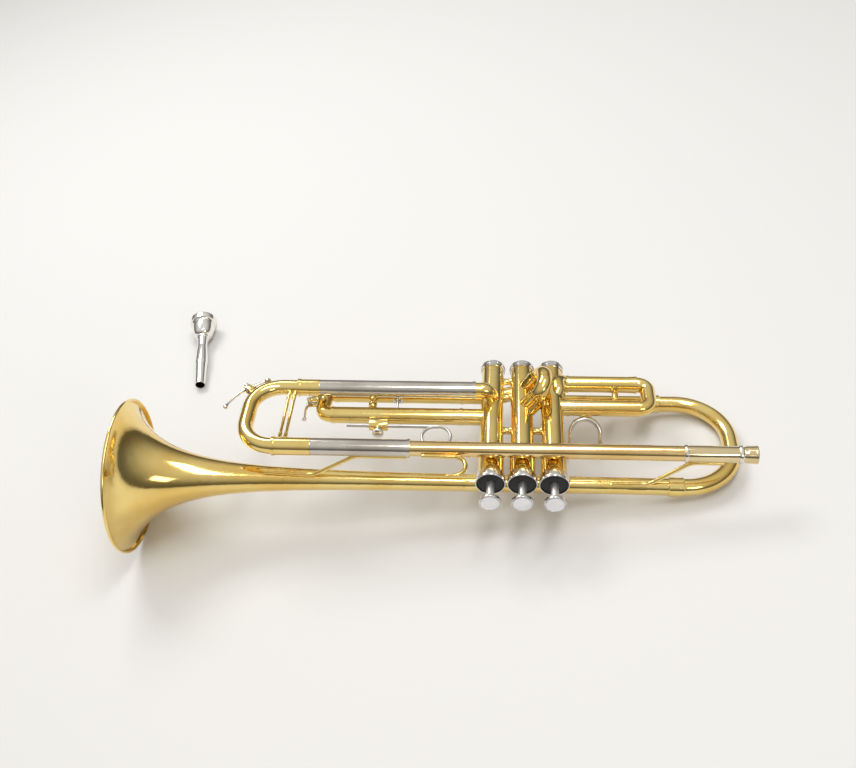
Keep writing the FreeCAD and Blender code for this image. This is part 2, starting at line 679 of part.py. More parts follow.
def main_slide():
    crook = pipe("main_crook_pipe", main_crook(), "main_bend", "tube_radius", "bore_radius", (0, 0, "lead_z"))
    drain = rod("main_drain", "drain_radius", 0, "tube_radius + past", *key_nipple("main"))
    sub_part("tuning_slide_crook", without("main_crook_drained", crook, drain))
    legs = []
    ferrules = []
    for side, ring_x, sleeve_x, y in (
        ("lower", "lower_ring_x", "lower_sleeve_x", "lead_y"),
        ("upper", "upper_ring_x", "upper_sleeve_x", "main_y"),
    ):
        legs.append(tube(f"main_leg_{side}", ring_x, f"{sleeve_x} + main_insert", "tube_radius",
                         "bore_radius", (0, y, "lead_z"), REAR))
        ferrules.append(tube(f"main_ferrule_{side}", f"{ring_x} + solder", f"{sleeve_x} - slide_gap",
                             "ferrule_radius", "ferrule_bore", (0, y, "lead_z"), REAR,
                             [(f"{ring_x} + solder", "ring_height")]))
    sub_part("tuning_slide_legs", *legs)
    sub_part("tuning_slide_ferrules", *ferrules)
    posts = [
        seated_post(f"main_brace_{side}", f"brace_x {sign} brace_spread", "lead_z",
                    ("lead_y", "ferrule_radius"), ("main_y", "tube_radius"), "brace_flange", "brace_rod",
                    "brace_rod * 0.15")
        for side, sign in (("front", "-"), ("rear", "+"))
    ]
    sub_part("tuning_slide_brace", *posts)


def slide_runners(name, number, ys, stub, inner_ends, direction):
    """What is fixed to the valve: a stub with a ring, and the nickel inner tube inside it."""
    stubs = []
    inners = []
    for side, y, inner_end in zip(("upper", "lower"), ys, inner_ends):
        base = (valve_x(number), y, 0)
        collar = tube(f"{name}_stub_{side}", 0, stub, "sleeve_radius", "ferrule_bore", base, direction,
                      [(f"{stub} - ring_length", "ring_height")])
        stubs.append(without(f"{name}_stub_{side}_trimmed", collar, casing_space(number, f"{name}_stub_{side}")))
        inner = tube(f"{name}_inner_{side}", 0, inner_end, "tube_radius", "bore_radius", base, direction)
        inners.append(without(f"{name}_inner_{side}_trimmed", inner, casing_space(number, f"{name}_inner_{side}")))
    return stubs, inners


def third_slide():
    ys = ("third_upper_y", "third_lower_y")
    inner_end = "third_reach - crook_lap - 2 * past"
    runners = slide_runners("third", 3, ys, "third_stub", (inner_end, inner_end), FRONT)
    outers = [
        tube(f"third_outer_{side}", "third_stub + slide_gap", "third_reach", "sleeve_radius", "sleeve_bore",
             (valve_x(3), y, 0), FRONT)
        for side, y in zip(("upper", "lower"), ys)
    ]
    sub_part("third_slide_tubes", *outers)
    crook = pipe("third_crook_pipe", third_crook(), "third_bend", "tube_radius", "bore_radius")
    drain = rod("third_drain", "drain_radius", 0, "tube_radius + past", *key_nipple("third"))
    collars = [
        tube(f"third_collar_{side}", "third_reach + solder", "third_reach + third_collar", "ferrule_radius",
             "ferrule_bore", (valve_x(3), y, 0), FRONT)
        for side, y in zip(("upper", "lower"), ys)
    ]
    sub_part("third_slide_crook", without("third_crook_drained", crook, drain), *collars)
    lower = ("third_lower_y", "sleeve_radius")
    upper = ("third_upper_y", "sleeve_radius")
    sub_part("third_slide_post", seated_post("third_post", "third_post_x", 0, lower, upper,
                                             "post_radius", "post_waist * 2", "post_waist * 2"))
    stem = rod("third_stay_stem", "saddle_rod / 2", "third_lower_y + sleeve_radius - past",
               "(third_lower_y + third_upper_y) / 2 + past", ("third_stay_x", 0, 0), DOWN)
    fork = pipe("third_stay_fork", [
        ("third_stay_x - 2 * ring_length", "third_upper_y - sleeve_radius + past / 2"),
        ("third_stay_x - ring_length", "(third_lower_y + third_upper_y) / 2 + past / 2"),
        ("third_stay_x + ring_length", "(third_lower_y + third_upper_y) / 2 + past / 2"),
        ("third_stay_x + 2 * ring_length", "third_upper_y - sleeve_radius + past / 2"),
    ], "ring_length / 2", "saddle_rod / 2", None)
    seats = [
        rod(f"third_stay_seat_{side}", "sleeve_radius + solder", "-cutter", "cutter", ("third_stay_x", y, 0), REAR)
        for side, y in zip(("upper", "lower"), ys)
    ]
    sub_part("third_slide_stay", without("third_stay_seated", fused("third_stay", stem, fork), *seats))
    return runners


def first_slide():
    ys = ("first_upper_y", "first_lower_y")
    reaches = ("first_upper_reach", "first_lower_reach")
    inner_ends = [f"{far} - crook_lap - 2 * past" for far in reaches]
    runners = slide_runners("first", 1, ys, "first_stub", inner_ends, REAR)
    outers = [
        tube(f"first_outer_{side}", "first_stub + slide_gap", far, "sleeve_radius", "sleeve_bore",
             (valve_x(1), y, 0), REAR)
        for side, y, far in zip(("upper", "lower"), ys, reaches)
    ]
    sub_part("first_slide_tubes", *outers)
    crook = pipe("first_crook_pipe", [
        ("first_upper_end - crook_lap", "first_upper_y"), ("first_rear", "first_upper_y"),
        ("first_rear", "first_lower_y"), ("first_lower_end - crook_lap", "first_lower_y"),
    ], "first_bend", "tube_radius", "bore_radius")
    collars = [
        tube(f"first_collar_{side}", f"{far} + solder", "first_far", "ferrule_radius", "ferrule_bore",
             (valve_x(1), y, 0), REAR, [("first_far - ring_length", "ring_height / 2")] if side == "upper" else [])
        for side, y, far in zip(("upper", "lower"), ys, reaches)
    ]
    sub_part("first_slide_crook", crook, *collars)
    post = seated_post("first_post", "first_post_x", 0, ("first_lower_y", "sleeve_radius"),
                       ("first_upper_y", "sleeve_radius"), "post_radius", "post_waist * 2", "post_waist")
    sub_part("first_slide_post", post)
    return runners


def second_slide():
    """Square to the valves, turned towards the player's end."""
    tubes = []
    legs = []
    collars = []
    turn = Rotation(Vector(0, 1, 0), size("second_angle") - 90)
    crook_end = "second_reach + slide_gap + crook_lead"
    for side, y in (("upper", "second_upper_y"), ("lower", "second_lower_y")):
        sleeve = tube(f"second_sleeve_{side}", 0, "second_reach", "sleeve_radius", "sleeve_bore",
                      (0, y, 0), SECOND, [("second_reach - ring_length", "ring_height")])
        tubes.append(without(f"second_tube_{side}", sleeve, casing_space(2, f"second_{side}")))
        legs.append(tube(f"second_leg_{side}", "second_reach - second_insert", crook_end, "tube_radius",
                         "bore_radius", (0, y, 0), SECOND))
        collars.append(tube(f"second_collar_{side}", "second_reach + slide_gap",
                            "second_reach + slide_gap + second_collar", "ferrule_radius", "ferrule_bore",
                            (0, y, 0), SECOND))
    sub_part("second_slide_tubes", *tubes)
    sub_part("second_slide_legs", *legs)
    crook = pipe("second_crook_pipe", [
        (crook_end, "second_upper_y"), ("second_front", "second_upper_y"),
        ("second_front", "second_lower_y"), (crook_end, "second_lower_y"),
    ], "second_bend", "tube_radius", "bore_radius", (0, 0, 0), turn)
    sub_part("second_slide_crook", crook, *collars)


KNUCKLES = {
    # front valve and the height there, rear valve and the height there, offset from the valves' plane
    "rear": (2, "rear_knuckle_high", 1, "rear_knuckle_low", "rear_knuckle_z"),
    "front": (3, "front_knuckle_high", 2, "front_knuckle_low", "front_knuckle_z"),
}


def knuckles():
    """Short tubes that carry the wind from valve to valve, and the posts between the casings."""
    spaces = [casing_space(number, "knuckle") for number in (1, 2, 3)]
    for side in ("upper", "lower"):
        spaces.append(rod(f"knuckle_second_{side}", "sleeve_radius + solder", 0, "second_reach",
                          (0, f"second_{side}_y", 0), SECOND))
    made = []
    for name, (left, start_y, right, end_y, z) in KNUCKLES.items():
        start = point(valve_x(left), start_y, z)
        end = point(valve_x(right), end_y, z)
        run = f"sqrt(valve_pitch ^ 2 + ({end_y} - {start_y}) ^ 2)"
        knuckle = tube(f"knuckle_tube_{name}", 0, run, "tube_radius", "bore_radius",
                       (valve_x(left), start_y, z), tuple(end - start))
        made.append(without(f"knuckle_{name}", knuckle, *spaces))
    sub_part("valve_knuckles", *made)
    posts = []
    for left, heights in ((3, ("post_low_y", "post_middle_y", "post_top_y")), (2, ("post_low_y", "post_top_y"))):
        for i, y in enumerate(heights):
            gap = "valve_pitch - 2 * casing_radius"
            start = f"{valve_x(left)} + casing_radius - past"
            post = turned(f"casing_post_{left}_{i}", [
                (0, 0), (0, "post_radius"), (f"{gap} + 2 * past", "post_radius", "-post_waist"),
                (f"{gap} + 2 * past", 0),
            ], (start, y, 0), REAR)
            seats = [
                rod(f"post_seat_{left}_{i}_{n}", "casing_radius + solder", f"{y} - cutter", f"{y} + cutter",
                    (valve_x(n), 0, 0), DOWN)
                for n in (left, left - 1)
            ]
            posts.append(without(f"casing_post_{left}_{i}_seated", post, *seats))
    sub_part("casing_posts", *posts)
    stays = []
    for number in (1, 3):
        x = valve_x(number)
        stay = turned(f"bell_stay_{number}", [
            ("bell_z + bow_radius - past", 0), ("bell_z + bow_radius - past", "post_radius"),
            ("-head_radius + past", "post_radius", "-post_waist"), ("-head_radius + past", 0),
        ], (x, "bell_y", 0), RIGHT)
        seats = [
            rod(f"stay_head_{number}", "head_radius + solder", "-casing_up", 0, (x, 0, 0), DOWN),
            rod(f"stay_bell_{number}", f"{horn(x + ' - post_radius')} + solder", "-cutter", "cutter",
                (x, "bell_y", "bell_z"), REAR),
        ]
        stays.append(without(f"bell_stay_{number}_seated", stay, *seats))
    sub_part("bell_stays", *stays)


PASSAGES = {
    # a piston's wind passages: height of the middle, way through
    1: (("14", (1, 0.35, 0.25)), ("31", (1, -0.2, -0.4)), ("-5", (0.3, 0.3, 1))),
    2: (("15", (0.5, 0.3, 1)), ("32", (0.6, -0.3, -1)), ("-4", (1, 0.25, 0))),
    3: (("13", (-1, 0.3, 0.4)), ("30", (-1, -0.3, 0.2)), ("-6", (0.2, 0.2, 1))),
}


def valve(number):
    """One valve: the ported casing, the piston with its spring barrel, and the finger button."""
    x = valve_x(number)
    shell = turned(f"casing_shell_{number}", [
        ("-casing_up", "casing_bore"), ("-casing_up", "head_radius"),
        ("head_length - casing_up", "head_radius"),
        ("head_length - casing_up + head_step", "casing_radius"),
        ("casing_down", "casing_radius"), ("casing_down", "casing_bore"),
    ], (x, 0, 0), DOWN)
    name, direction = {1: ("first", REAR), 2: ("second", SECOND), 3: ("third", FRONT)}[number]
    ports = [((x, f"{name}_{side}_y", 0), direction) for side in ("upper", "lower")]
    if number == 1:
        ports.append(((x, "branch_port_y", 0), (0, size("bow_y - branch_port_y"), size("bell_z"))))
    if number == 3:
        ports.append((("inlet_x", "main_y", 0), RIGHT))
    for left, start_y, right, end_y, z in KNUCKLES.values():
        run = point("valve_pitch", f"{end_y} - {start_y}", 0)
        if number == left:
            ports.append(((x, start_y, z), tuple(run)))
        if number == right:
            ports.append(((x, end_y, z), tuple(-run)))
    holes = [
        rod(f"port_{number}_{i}", "bore_radius", 0, "2 * casing_radius", base, way)
        for i, (base, way) in enumerate(ports)
    ]
    sub_part(f"valve_casing_{number}", without(f"casing_{number}", shell, *holes))

    barrel = turned(f"piston_turned_{number}", [
        ("-barrel_top", 0), ("-barrel_top", "barrel_radius"),
        ("-piston_top", "barrel_radius"), ("-piston_top", "piston_radius"),
        ("piston_bottom", "piston_radius"), ("piston_bottom", "piston_radius - barrel_wall"),
        ("piston_bottom - piston_recess", "piston_radius - barrel_wall"), ("piston_bottom - piston_recess", 0),
    ], (x, 0, 0), DOWN)
    hollow = rod(f"barrel_hollow_{number}", "barrel_radius - barrel_wall", "-barrel_top + 2 * barrel_wall",
                 "-piston_top", (x, 0, 0), DOWN)
    slot = doc.addObject("Part::Box", f"barrel_slot_{number}")
    slot.setExpression("Length", bound("guide_width + 2 * guide_gap"))
    slot.setExpression("Width", bound("stroke + guide_thickness + 2 * guide_gap"))
    slot.setExpression("Height", bound("2 * barrel_radius + 2 * past"))
    corner = point(f"{x} - guide_width / 2 - guide_gap", "-piston_top - stroke - guide_thickness - 2 * guide_gap",
                   "-barrel_radius - past")
    slot.Placement = Placement(corner, Rotation())
    passages = [
        rod(f"passage_{number}_{i}", "passage_radius", "-2 * piston_radius", "2 * piston_radius", (x, y, 0), way)
        for i, (y, way) in enumerate(PASSAGES[number])
    ]
    sub_part(f"piston_{number}", without(f"piston_cut_{number}", barrel, hollow, slot, *passages))

    button = turned(f"button_cup_{number}", [
        ("-button_low", 0), ("-button_low", "button_foot"),
        ("-button_low - button_height / 2", "button_radius", "0.4"),
        ("-button_top", "button_radius - button_edge", "0.15"),
        ("-button_top", "pearl_radius + solder"), ("-button_top + pearl_depth", "pearl_radius + solder"),
        ("-button_top + pearl_depth", 0),
    ], (x, 0, 0), DOWN)
    stem = rod(f"stem_{number}", "stem_radius", "-button_low", "-barrel_top", (x, 0, 0), DOWN)
    sub_part(f"finger_button_{number}", fused(f"button_{number}", button, stem))
    pearl = turned(f"pearl_disc_{number}", [
        ("-button_top + pearl_depth - solder", 0), ("-button_top + pearl_depth - solder", "pearl_radius"),
        ("-button_top", "pearl_radius"), ("-button_top - pearl_dome", 0, dome("pearl_radius", "pearl_dome")),
    ], (x, 0, 0), DOWN)
    sub_part(f"button_pearl_{number}", pearl)


def valve_caps():
    """Caps at both ends of the casings, the felts under the buttons, and the pistons' guides."""
    tops = []
    bottoms = []
    felts = []
    guides = []
    for number in (1, 2, 3):
        x = valve_x(number)
        skirt = "-casing_up + cap_skirt"
        tops.append(turned(f"top_cap_{number}", [
            ("-cap_face", "stem_radius + stem_gap"), ("-cap_face", "top_cap_radius - crown_edge"),
            ("-cap_face + crown_edge", "top_cap_radius", "crown_edge * 0.2"),
            (f"{skirt} - cap_edge", "top_cap_radius"), (skirt, "top_cap_radius - cap_edge", "cap_edge * 0.2"),
            (skirt, "head_radius + cap_thread"), ("-casing_up", "head_radius + cap_thread"),
            ("-casing_up", "stem_radius + stem_gap"),
        ], (x, 0, 0), DOWN))
        lip = "casing_down - cap_skirt"
        bottoms.append(turned(f"bottom_cap_{number}", [
            ("casing_down", "casing_radius + cap_thread"), (lip, "casing_radius + cap_thread"),
            (lip, "bottom_cap_radius - cap_edge"), ("casing_down - 2 * cap_edge", "bottom_cap_radius - cap_edge"),
            ("casing_down - cap_edge", "bottom_cap_radius"),
            ("casing_down + cap_floor - cap_edge", "bottom_cap_radius"),
            ("casing_down + cap_floor", "bottom_cap_radius - cap_edge", "cap_edge * 0.2"),
            ("casing_down + cap_floor", "bottom_cap_bore"), ("casing_down", "bottom_cap_bore"),
        ], (x, 0, 0), DOWN))
        felts.append(tube(f"felt_{number}", "-cap_face - felt_thickness", "-cap_face - solder", "felt_radius",
                          "stem_radius + guide_gap", (x, 0, 0), DOWN))
        top = "-piston_top - guide_gap - guide_thickness"
        hub = rod(f"guide_hub_{number}", "barrel_radius - barrel_wall - guide_gap", top,
                  "-piston_top - guide_gap", (x, 0, 0), DOWN)
        bar = doc.addObject("Part::Box", f"guide_bar_{number}")
        bar.setExpression("Length", bound("guide_width"))
        bar.setExpression("Width", bound("guide_thickness"))
        reach = "sqrt((casing_bore - piston_fit) ^ 2 - (guide_width / 2) ^ 2)"
        bar.setExpression("Height", bound(f"2 * {reach}"))
        bar.Placement = Placement(point(f"{x} - guide_width / 2", top, f"-{reach}"), Rotation())
        hole = rod(f"guide_hole_{number}", "guide_bore", "-casing_up", 0, (x, 0, 0), DOWN)
        guides.append(without(f"guide_{number}", fused(f"guide_solid_{number}", hub, bar), hole))
    sub_part("top_valve_caps", *tops)
    sub_part("bottom_valve_caps", *bottoms)
    sub_part("cap_felts", *felts)
    sub_part("valve_guides", *guides)


def bell_braces():
    """Two bent rods from the leadpipe down to the bell, in a plane that leans past the bell's axis."""
    lean = size("brace_lean")
    aim = Rotation(Vector(1, 0, 0), -90 - lean)
    sine, cosine = math.sin(math.radians(lean)), math.cos(math.radians(lean))
    across = f"((lead_y - bell_y) * {sine} + (lead_z - bell_z) * {cosine})"
    beside = f"((lead_z - bell_z) * {sine} - (lead_y - bell_y) * {cosine})"
    braces = []
    for label, seat in (("front", "sleeve_radius"), ("rear", "receiver_radius")):
        feet = [f"{label}_brace_{spot}" for spot in ("foot", "heel", "knee", "end")]
        low = [f"{across} - sqrt(({horn(x)} + rod_radius + 2 * solder) ^ 2 - {beside} ^ 2)" for x in feet[:2]]
        high = f"{seat} + rod_radius + solder"
        route = [(feet[0], low[0]), (feet[1], low[1]), (feet[2], high), (feet[3], high)]
        braces.append(pipe(f"{label}_brace", route, "brace_bend", "rod_radius", None,
                           (0, "lead_y", "lead_z"), aim))
    sub_part("bell_braces", *braces)


def finger_hook():
    side = "lead_y - lead_radius - hook_rod - solder"
    hook = pipe("hook_rod_bent", [
        ("hook_x - hook_foot", side), ("hook_x", side), ("hook_x", f"{side} - hook_height"),
        ("hook_x - hook_reach", f"{side} - hook_height - hook_rod"),
    ], "hook_bend", "hook_rod", None, (0, 0, "lead_z"))
    sub_part("finger_hook", hook)


def thumb_saddle():
    """A nickel U on the first slide, leaning to the player's left."""
    lean = Rotation(Vector(1, 0, 0), size("saddle_tilt") + 180)
    near = "sleeve_radius + saddle_gap + saddle_rod"
    arch = pipe("saddle_arch", [
        ("-saddle_width / 2", f"{near} + saddle_depth"), ("-saddle_width / 2", near),
        ("saddle_width / 2", near), ("saddle_width / 2", f"{near} + saddle_depth"),
    ], "saddle_width / 2 - saddle_flat", "saddle_rod", None, ("saddle_x", "first_lower_y", 0), lean)
    foot = doc.addObject("Part::Box", "saddle_base")
    foot.setExpression("Length", bound("saddle_foot"))
    foot.setExpression("Width", bound("2 * saddle_rod"))
    foot.setExpression("Height", bound("3 * saddle_rod"))
    corner = Placement(point("-saddle_foot / 2", "sleeve_radius - past", "-1.5 * saddle_rod"), Rotation())
    foot.Placement = Placement(point("saddle_x", "first_lower_y", 0), lean) * corner
    seat = rod("saddle_seat", "sleeve_radius + solder", "-cutter", "cutter", ("saddle_x", "first_lower_y", 0), REAR)
    sub_part("thumb_saddle", without("saddle_seated", fused("saddle_solid", arch, foot), seat))


def finger_ring():
    """A block on the third slide clamps a rod with a finger ring, which can be set along the slide."""
    block = doc.addObject("Part::Box", "clamp_block")
    block.setExpression("Length", bound("clamp_length"))
    block.setExpression("Width", bound("third_lower_y - ring_rod_y + ring_rod_radius + clamp_wall - 2 * past"))
    block.setExpression("Height", bound("clamp_width"))
    corner = point("clamp_x - clamp_length / 2", "ring_rod_y - ring_rod_radius - clamp_wall", "-clamp_width / 2")
    block.Placement = Placement(corner, Rotation())
    seat = rod("clamp_seat", "sleeve_radius + solder", "-cutter", "cutter", ("clamp_x", "third_lower_y", 0), REAR)
    hole = rod("clamp_hole", "ring_rod_radius + ring_rod_gap", "-cutter", "cutter",
               ("clamp_x", "ring_rod_y", 0), REAR)
    screw_hole = rod("clamp_screw_hole", "screw_radius + key_fit", 0, "cutter", ("clamp_x", "ring_rod_y", 0), UP)
    sub_part("ring_clamp", without("clamp_finished", block, seat, hole, screw_hole))
    head = "ring_rod_radius + clamp_wall + slide_gap"
    screw = turned("screw_turned", [
        ("ring_rod_radius + ring_rod_gap", 0), ("ring_rod_radius + ring_rod_gap", "screw_radius"),
        (head, "screw_radius"), (head, "screw_head - screw_edge"), (f"{head} + screw_edge", "screw_head"),
        (f"{head} + screw_head_height - screw_edge", "screw_head"),
        (f"{head} + screw_head_height", "screw_head - screw_edge"), (f"{head} + screw_head_height", 0),
    ], ("clamp_x", "ring_rod_y", 0), UP)
    sub_part("clamp_screw", screw)
    shaft = rod("ring_shaft", "ring_rod_radius", "-ring_rod_length", 0,
                ("ring_x + finger_ring_wire", "ring_rod_y", 0), REAR)
    ring = doc.addObject("Part::Torus", "ring_loop")
    ring.setExpression("Radius1", bound("finger_ring_radius"))
    ring.setExpression("Radius2", bound("finger_ring_wire"))
    ring.Placement = Placement(point("ring_x", "ring_rod_y - finger_ring_radius", 0), Rotation())
    sub_part("finger_ring", fused("ring_and_rod", shaft, ring))


KEYS = {
    # bend centre, its radius, plane, nipple's angle, saddle's angle, pivot's distance, tip from the pivot
    "main": {
        "centre": ("main_front + main_bend", "main_y - main_bend"), "bend": "main_bend", "z": "lead_z",
        "nipple": "116", "saddle": "144", "pivot": "main_bend + tube_radius + main_key_height",
        "tip": ("-13.6", "-22.4"),
    },
    "third": {
        "centre": ("third_front + third_bend", "third_upper_y - third_bend"), "bend": "third_bend", "z": "0",
        "nipple": "158", "saddle": "190", "pivot": "third_bend + tube_radius + third_key_height",
        "tip": ("-1.5", "-20.0"),
    },
}


def key_spot(which, angle, distance):
    """A place in the key's plane, at an angle and a distance from the centre of the crook's bend."""
    x, y = KEYS[which]["centre"]
    turn = math.radians(float(KEYS[which][angle]))
    return (f"{x} + ({distance}) * {math.cos(turn)}", f"{y} + ({distance}) * {math.sin(turn)}", KEYS[which]["z"])


def key_way(which, angle):
    turn = math.radians(float(KEYS[which][angle]))
    return (math.cos(turn), math.sin(turn), 0)


def key_nipple(which):
    """Where the drain leaves the crook, and which way."""
    return key_spot(which, "nipple", KEYS[which]["bend"]), key_way(which, "nipple")


def water_key(which, crook):
    """A lever on a pinned saddle, with a cork that closes the drain's nipple."""
    key = KEYS[which]
    bend, z = key["bend"], key["z"]
    pivot = key_spot(which, "saddle", key["pivot"])
    height = f"{key['pivot']} - {bend} - tube_radius"
    face = Rotation(Vector(0, 0, 1), float(key["saddle"]))
    place = Placement(point(*pivot), face)
    space = pipe(f"{which}_key_space", crook, bend, "tube_radius + solder", None, (0, 0, z))
    blocks = []
    for name, x, length, half_y, z_low, z_high in (
        ("base", f"-({height}) - tube_radius / 2", "tube_radius / 2 + past", "key_hub + past",
         "-key_width / 2 - key_fit - key_ear", "key_width / 2 + key_fit + key_ear"),
        ("left", f"-({height})", f"{height} + key_hub", "key_hub",
         "-key_width / 2 - key_fit - key_ear", "-key_width / 2 - key_fit"),
        ("right", f"-({height})", f"{height} + key_hub", "key_hub",
         "key_width / 2 + key_fit", "key_width / 2 + key_fit + key_ear"),
    ):
        block = doc.addObject("Part::Box", f"{which}_saddle_{name}")
        block.setExpression("Length", bound(length))
        block.setExpression("Width", bound(f"2 * ({half_y})"))
        block.setExpression("Height", bound(f"{z_high} - ({z_low})"))
        block.Placement = place * Placement(point(x, f"-({half_y})", z_low), Rotation())
        blocks.append(block)
    half = "key_width / 2 + key_fit + key_ear"
    pin_hole = rod(f"{which}_pin_hole", "key_pin + solder", f"-({half}) - past", f"{half} + past", pivot, RIGHT)
    pin = rod(f"{which}_pin", "key_pin", f"-({half})", half, pivot, RIGHT)
    saddle = without(f"{which}_saddle", fused(f"{which}_saddle_solid", *blocks), space, pin_hole)
    root, way = key_nipple(which)
    nipple_end = "tube_radius + nipple_height"
    nipple = tube(f"{which}_nipple_tube", "bore_radius - past", nipple_end, "nipple_radius", "drain_radius",
                  root, way)
    sub_part(f"{which}_key_saddle", saddle, pin, without(f"{which}_nipple", nipple, space))
    cork = rod(f"{which}_cork", "key_cup - slide_gap", f"{nipple_end} + solder", f"{nipple_end} + cork_height",
               root, way)
    cup_low = f"{nipple_end} + cork_height"
    cup = turned(f"{which}_cup", [
        (f"{cup_low} + solder", 0), (f"{cup_low} + solder", "key_cup"), (f"{cup_low} + key_cup_side", "key_cup"),
        (f"{cup_low} + key_cup_side + key_cup_dome", 0, dome("key_cup", "key_cup_dome")),
    ], root, way)
    hub = rod(f"{which}_hub", "key_hub", "-key_width / 2", "key_width / 2", pivot, RIGHT)
    x0, y0, _ = pivot
    cup_spot = key_spot(which, "nipple", f"{bend} + {cup_low} + 2 * key_arm")
    tip = (f"{x0} + {key['tip'][0]}", f"{y0} + {key['tip'][1]}")
    arms = pipe(f"{which}_arms", [tip, (x0, y0), cup_spot[:2]], "3 * key_hub", "key_arm", None, (0, 0, z))
    ball = doc.addObject("Part::Sphere", f"{which}_tip")
    ball.setExpression("Radius", bound("key_tip"))
    ball.Placement = Placement(point(*tip, z), Rotation())
    lever = fused(f"{which}_lever", arms, hub, cup, ball)
    bore = rod(f"{which}_hub_bore", "key_pin + key_fit", "-key_width", "key_width", pivot, RIGHT)
    sub_part(f"{which}_water_key", without(f"{which}_lever_bored", lever, bore))
    sub_part(f"{which}_key_cork", cork)


def mouthpiece():
    """It lies on the level that the instrument rests on, to the left of the bell, rim away."""
    body = turned("mouthpiece_turned", [
        ("0.9", "cup_radius"), (0, "cup_radius + 1.6", "0.3"), ("0.5", "mouthpiece_rim - 1.3", "0.35"),
        ("rim_land", "mouthpiece_rim", "0.5"), ("7.4", "mouthpiece_rim - 0.4", "0.1"),
        ("9.2", "mouthpiece_rim - 2.4", "-0.3"),
        ("21.5", "9.0", "0.5"), ("24.6", "5.7", "0.4"), ("25.4", "5.7"), ("26.0", "6.3", "0.1"),
        ("27.2", "6.3", "0.2"), ("28.0", "5.3", "-0.1"), ("38.0", "4.9", "-0.15"),
        ("60.0", "6.0", "0.25"), ("mouthpiece_length - 27", "shank_radius + 27 / 40"),
        ("mouthpiece_length", "shank_radius"), ("mouthpiece_length", "shank_radius - 0.55"),
        ("cup_depth + 8", "mouthpiece_throat"), ("cup_depth", "mouthpiece_throat"),
        ("3.0", "cup_radius - 0.2", "-2.6"),
    ])
    floor = LAY.multVec(point("rim_x + rim_bead", "bell_y", "bell_z - rim_radius")).z
    lean = math.atan2(size("mouthpiece_rim - shank_radius"), size("mouthpiece_length - rim_land"))
    heading = math.radians(size("mouthpiece_heading"))
    axis = Vector(math.sin(heading) * math.cos(lean), -math.cos(heading) * math.cos(lean), -math.sin(lean))
    middle = LAY.multVec(point("mouthpiece_x", "mouthpiece_y", 0))
    start = middle - axis * (size("mouthpiece_length") / 2)
    start.z = floor + size("mouthpiece_rim + slide_gap") * math.cos(lean) + size("rim_land") * math.sin(lean)
    body.Placement = Placement(start, along(axis))
    group = doc.addObject("Part::Compound", "mouthpiece")
    group.Links = [body]
    parts.append(group)


bell()
bell_bow()
leadpipe()
main_sleeves()
main_slide()
third_stubs, third_inners = third_slide()
first_stubs, first_inners = first_slide()
sub_part("slide_stubs", *first_stubs, *third_stubs)
sub_part("slide_inner_tubes", *first_inners, *third_inners)
second_slide()
knuckles()
for number in (1, 2, 3):
    valve(number)
valve_caps()
bell_braces()
finger_hook()
thumb_saddle()
finger_ring()
water_key("main", main_crook())
water_key("third", third_crook())
mouthpiece()

doc.recompute()
for item in doc.Objects:
    if "Invalid" in item.State or "Error" in item.State:
        raise SystemExit(f"{item.Label} did not compute: {item.State}")
for item in parts:
    if item.Shape.isNull() or not item.Shape.isValid():
        raise SystemExit(f"{item.Label} is not a sound shape")
os.makedirs("parts", exist_ok=True)
for item in parts:
    item.Shape.exportStep(os.path.join("parts", item.Label + ".step"))
    print(item.Label, len(item.Shape.Solids), round(item.Shape.Volume, 1))
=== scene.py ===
import json
import math

import bmesh
import bpy
from mathutils import Matrix, Vector


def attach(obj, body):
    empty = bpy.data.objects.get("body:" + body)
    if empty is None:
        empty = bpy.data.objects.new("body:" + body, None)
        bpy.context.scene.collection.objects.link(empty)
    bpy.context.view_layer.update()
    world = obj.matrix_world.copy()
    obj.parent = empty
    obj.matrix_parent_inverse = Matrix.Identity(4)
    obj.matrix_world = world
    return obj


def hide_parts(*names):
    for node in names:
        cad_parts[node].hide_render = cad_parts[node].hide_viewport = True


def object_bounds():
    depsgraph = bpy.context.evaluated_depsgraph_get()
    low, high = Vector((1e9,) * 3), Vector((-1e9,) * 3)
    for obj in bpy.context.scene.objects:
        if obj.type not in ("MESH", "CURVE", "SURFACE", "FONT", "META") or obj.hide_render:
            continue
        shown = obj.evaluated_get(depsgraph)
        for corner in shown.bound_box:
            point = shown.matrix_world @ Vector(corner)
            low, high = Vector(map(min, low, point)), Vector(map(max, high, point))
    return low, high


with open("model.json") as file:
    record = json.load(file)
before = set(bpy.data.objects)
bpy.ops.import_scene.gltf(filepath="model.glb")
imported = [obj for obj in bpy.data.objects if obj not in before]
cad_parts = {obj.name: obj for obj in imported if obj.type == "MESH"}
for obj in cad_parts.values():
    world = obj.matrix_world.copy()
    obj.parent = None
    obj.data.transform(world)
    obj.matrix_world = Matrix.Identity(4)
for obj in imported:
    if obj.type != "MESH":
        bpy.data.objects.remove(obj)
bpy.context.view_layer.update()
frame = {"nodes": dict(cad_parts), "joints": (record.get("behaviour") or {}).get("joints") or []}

nodes = frame["nodes"]

# Camera: it stands in front of the finger buttons and looks down across the valves, with the bell on its
# left and the mouthpiece receiver on its right.
camera = bpy.data.objects.new("camera", bpy.data.cameras.new("camera"))
camera.location = (-0.1224, -0.5443, 0.5921)
camera.rotation_euler = [math.radians(turn) for turn in (47.52, 8.71, 3.58)]
camera.data.lens = 43.98
camera.data.sensor_width = 36
camera.data.clip_start = 0.01
bpy.context.scene.collection.objects.link(camera)
bpy.context.scene.camera = camera
bpy.context.scene.view_settings.view_transform = "Standard"


